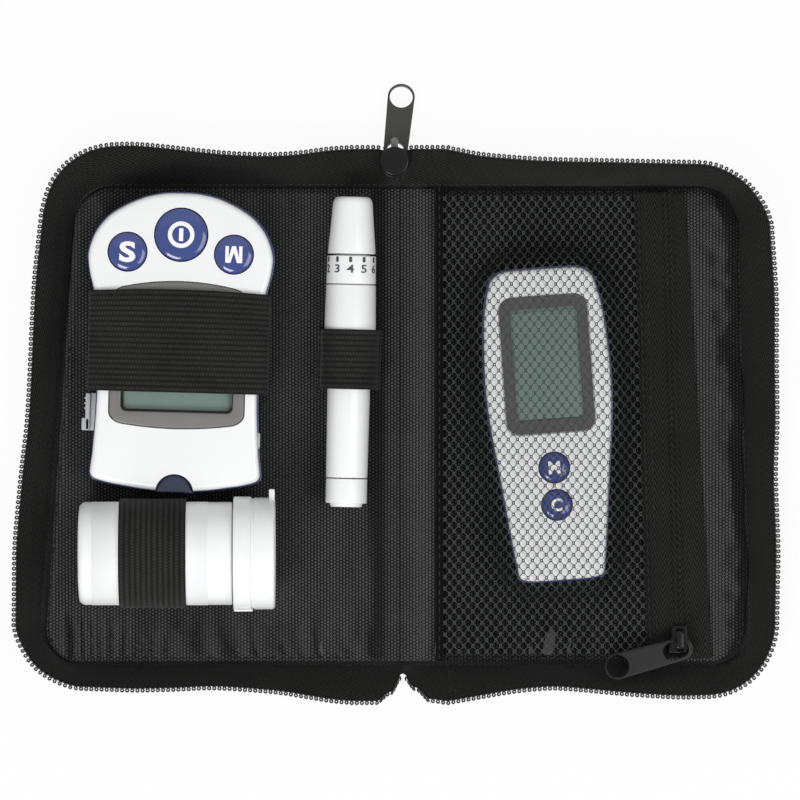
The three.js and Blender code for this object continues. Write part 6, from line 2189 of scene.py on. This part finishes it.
def pocket_slider():
    turn = math.atan2(SPLAY[RIGHT], PANEL_LENGTH)
    low = FLOOR_Z + POCKET_SLIDER_RISE + REST_GAP
    base = plate(POCKET_SLIDER_OUTLINE, low, low + PLATE, top=0.35, foot=0.15)
    rails = [block(**RAIL, high=low + RAIL_INTO, x=side * RAIL_X, edge=0.1) for side in (-1, 1)]
    staple = slider_bridge()
    staple.data.transform(Matrix.Translation((0, 0, (low + PLATE) * MM)))
    made = settle(together(base, *rails, staple), (zip_x(POCKET_SLIDER_Y), POCKET_SLIDER_Y, 0), turn)
    finish(made, "pocket_zip_slider", black_lacquer, "pocket_slider", ["pocket_slider"])


main_slider()
pocket_slider()

# The main pull hangs down to the table from its pivot, and the pocket's lies over its tape
MAIN_PIVOT = (SLIDER_X, 78.05, 6.9)
MAIN_TURN = math.radians(-6)
TIP_OVER_TABLE = 0.15
MAIN_TILT = -math.asin((MAIN_PIVOT[2] - PULL_THICKNESS / 2 - TIP_OVER_TABLE) / (PULL_LENGTH - PULL_WIDTH / 2))
POCKET_PIVOT = (zip_x(POCKET_SLIDER_Y), POCKET_SLIDER_Y, 8.2)
POCKET_TURN = math.radians(105)
POCKET_TILT = math.radians(8.5)
# The main pull's lacquer carries a painted reflection, while the pocket pull's is its own black
pull_piece("main_zip_pull", MAIN_PIVOT, MAIN_TURN, MAIN_TILT, pull_lacquer_painted_reflection)
pull_piece("pocket_zip_pull", POCKET_PIVOT, POCKET_TURN, POCKET_TILT, dark_pull_lacquer)


# Parts whose own shape is kept
KEPT = {
    "meter_a_battery_door": navy_plastic, "meter_a_button_pad": pad_rubber, "meter_a_coin_cell": bright_steel,
    "meter_a_pcb": board_green, "meter_a_screw_1": bright_steel, "meter_a_screw_2": bright_steel,
    "meter_b_coin_cell": bright_steel, "meter_b_pcb": board_green,
    "pen_lancet": pale_grey, "pen_lancet_carrier": pale_grey, "vial_test_strips": strip_plastic,
}
for kept, material in KEPT.items():
    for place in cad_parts[kept].material_slots:
        place.material = material


# Floor and light

def background_seen(tree):
    """1 where the camera, a glossy surface or clear plastic looks at the background, 0 where it lights."""
    path = node(tree, "ShaderNodeLightPath")
    shown = maths(tree, "MAXIMUM", path.outputs["Is Camera Ray"], path.outputs["Is Glossy Ray"])
    return maths(tree, "MAXIMUM", shown, path.outputs["Is Transmission Ray"])


FLOOR_WHITE = 0.94
FLOOR_SIZE = 4000
UNDER_CASE = 0.05
WORLD_LIGHT = 0.34


def stage_material():
    """White to the eye, and a plain pale floor for the light on the object."""
    material, tree, shader = shader_of("floor_white")
    shader.inputs["Base Color"].default_value = (0.8, 0.8, 0.8, 1)
    shader.inputs["Roughness"].default_value = 0.9
    shine = node(tree, "ShaderNodeEmission", Strength=1)
    seen = times(tree, background_seen(tree), FLOOR_WHITE)
    mix = tree.nodes.new("ShaderNodeMixShader")
    tree.links.new(seen, mix.inputs[0])
    tree.links.new(shader.outputs[0], mix.inputs[1])
    tree.links.new(shine.outputs[0], mix.inputs[2])
    tree.links.new(mix.outputs[0], tree.nodes["Material Output"].inputs["Surface"])
    return material


bpy.ops.mesh.primitive_plane_add(size=FLOOR_SIZE * MM, location=(0, 0, -UNDER_CASE * MM))
floor = bpy.context.object
floor.name = "floor"
floor.data.materials.append(stage_material())


def lamp(name, place, size, power):
    data = bpy.data.lights.new(name, "AREA")
    data.size = size * MM
    data.energy = power
    holder = added(name, data)
    holder.location = Vector(place) * MM
    holder.rotation_mode = "QUATERNION"
    holder.rotation_quaternion = (-holder.location).to_track_quat("-Z", "Y")


lamp("key_light", (-350, -650, 900), 450, 6.9)
lamp("fill_light", (600, -200, 900), 600, 4.4)
lamp("back_light", (-100, 800, 800), 1400, 1.8)

world = bpy.data.worlds.new("studio")
bpy.context.scene.world = world
world.use_nodes = True
sky = world.node_tree
shown = sky.nodes["Background"]
shown.inputs["Color"].default_value = (1, 1, 1, 1)
spread(sky, background_seen(sky), WORLD_LIGHT, 1, shown.inputs["Strength"])
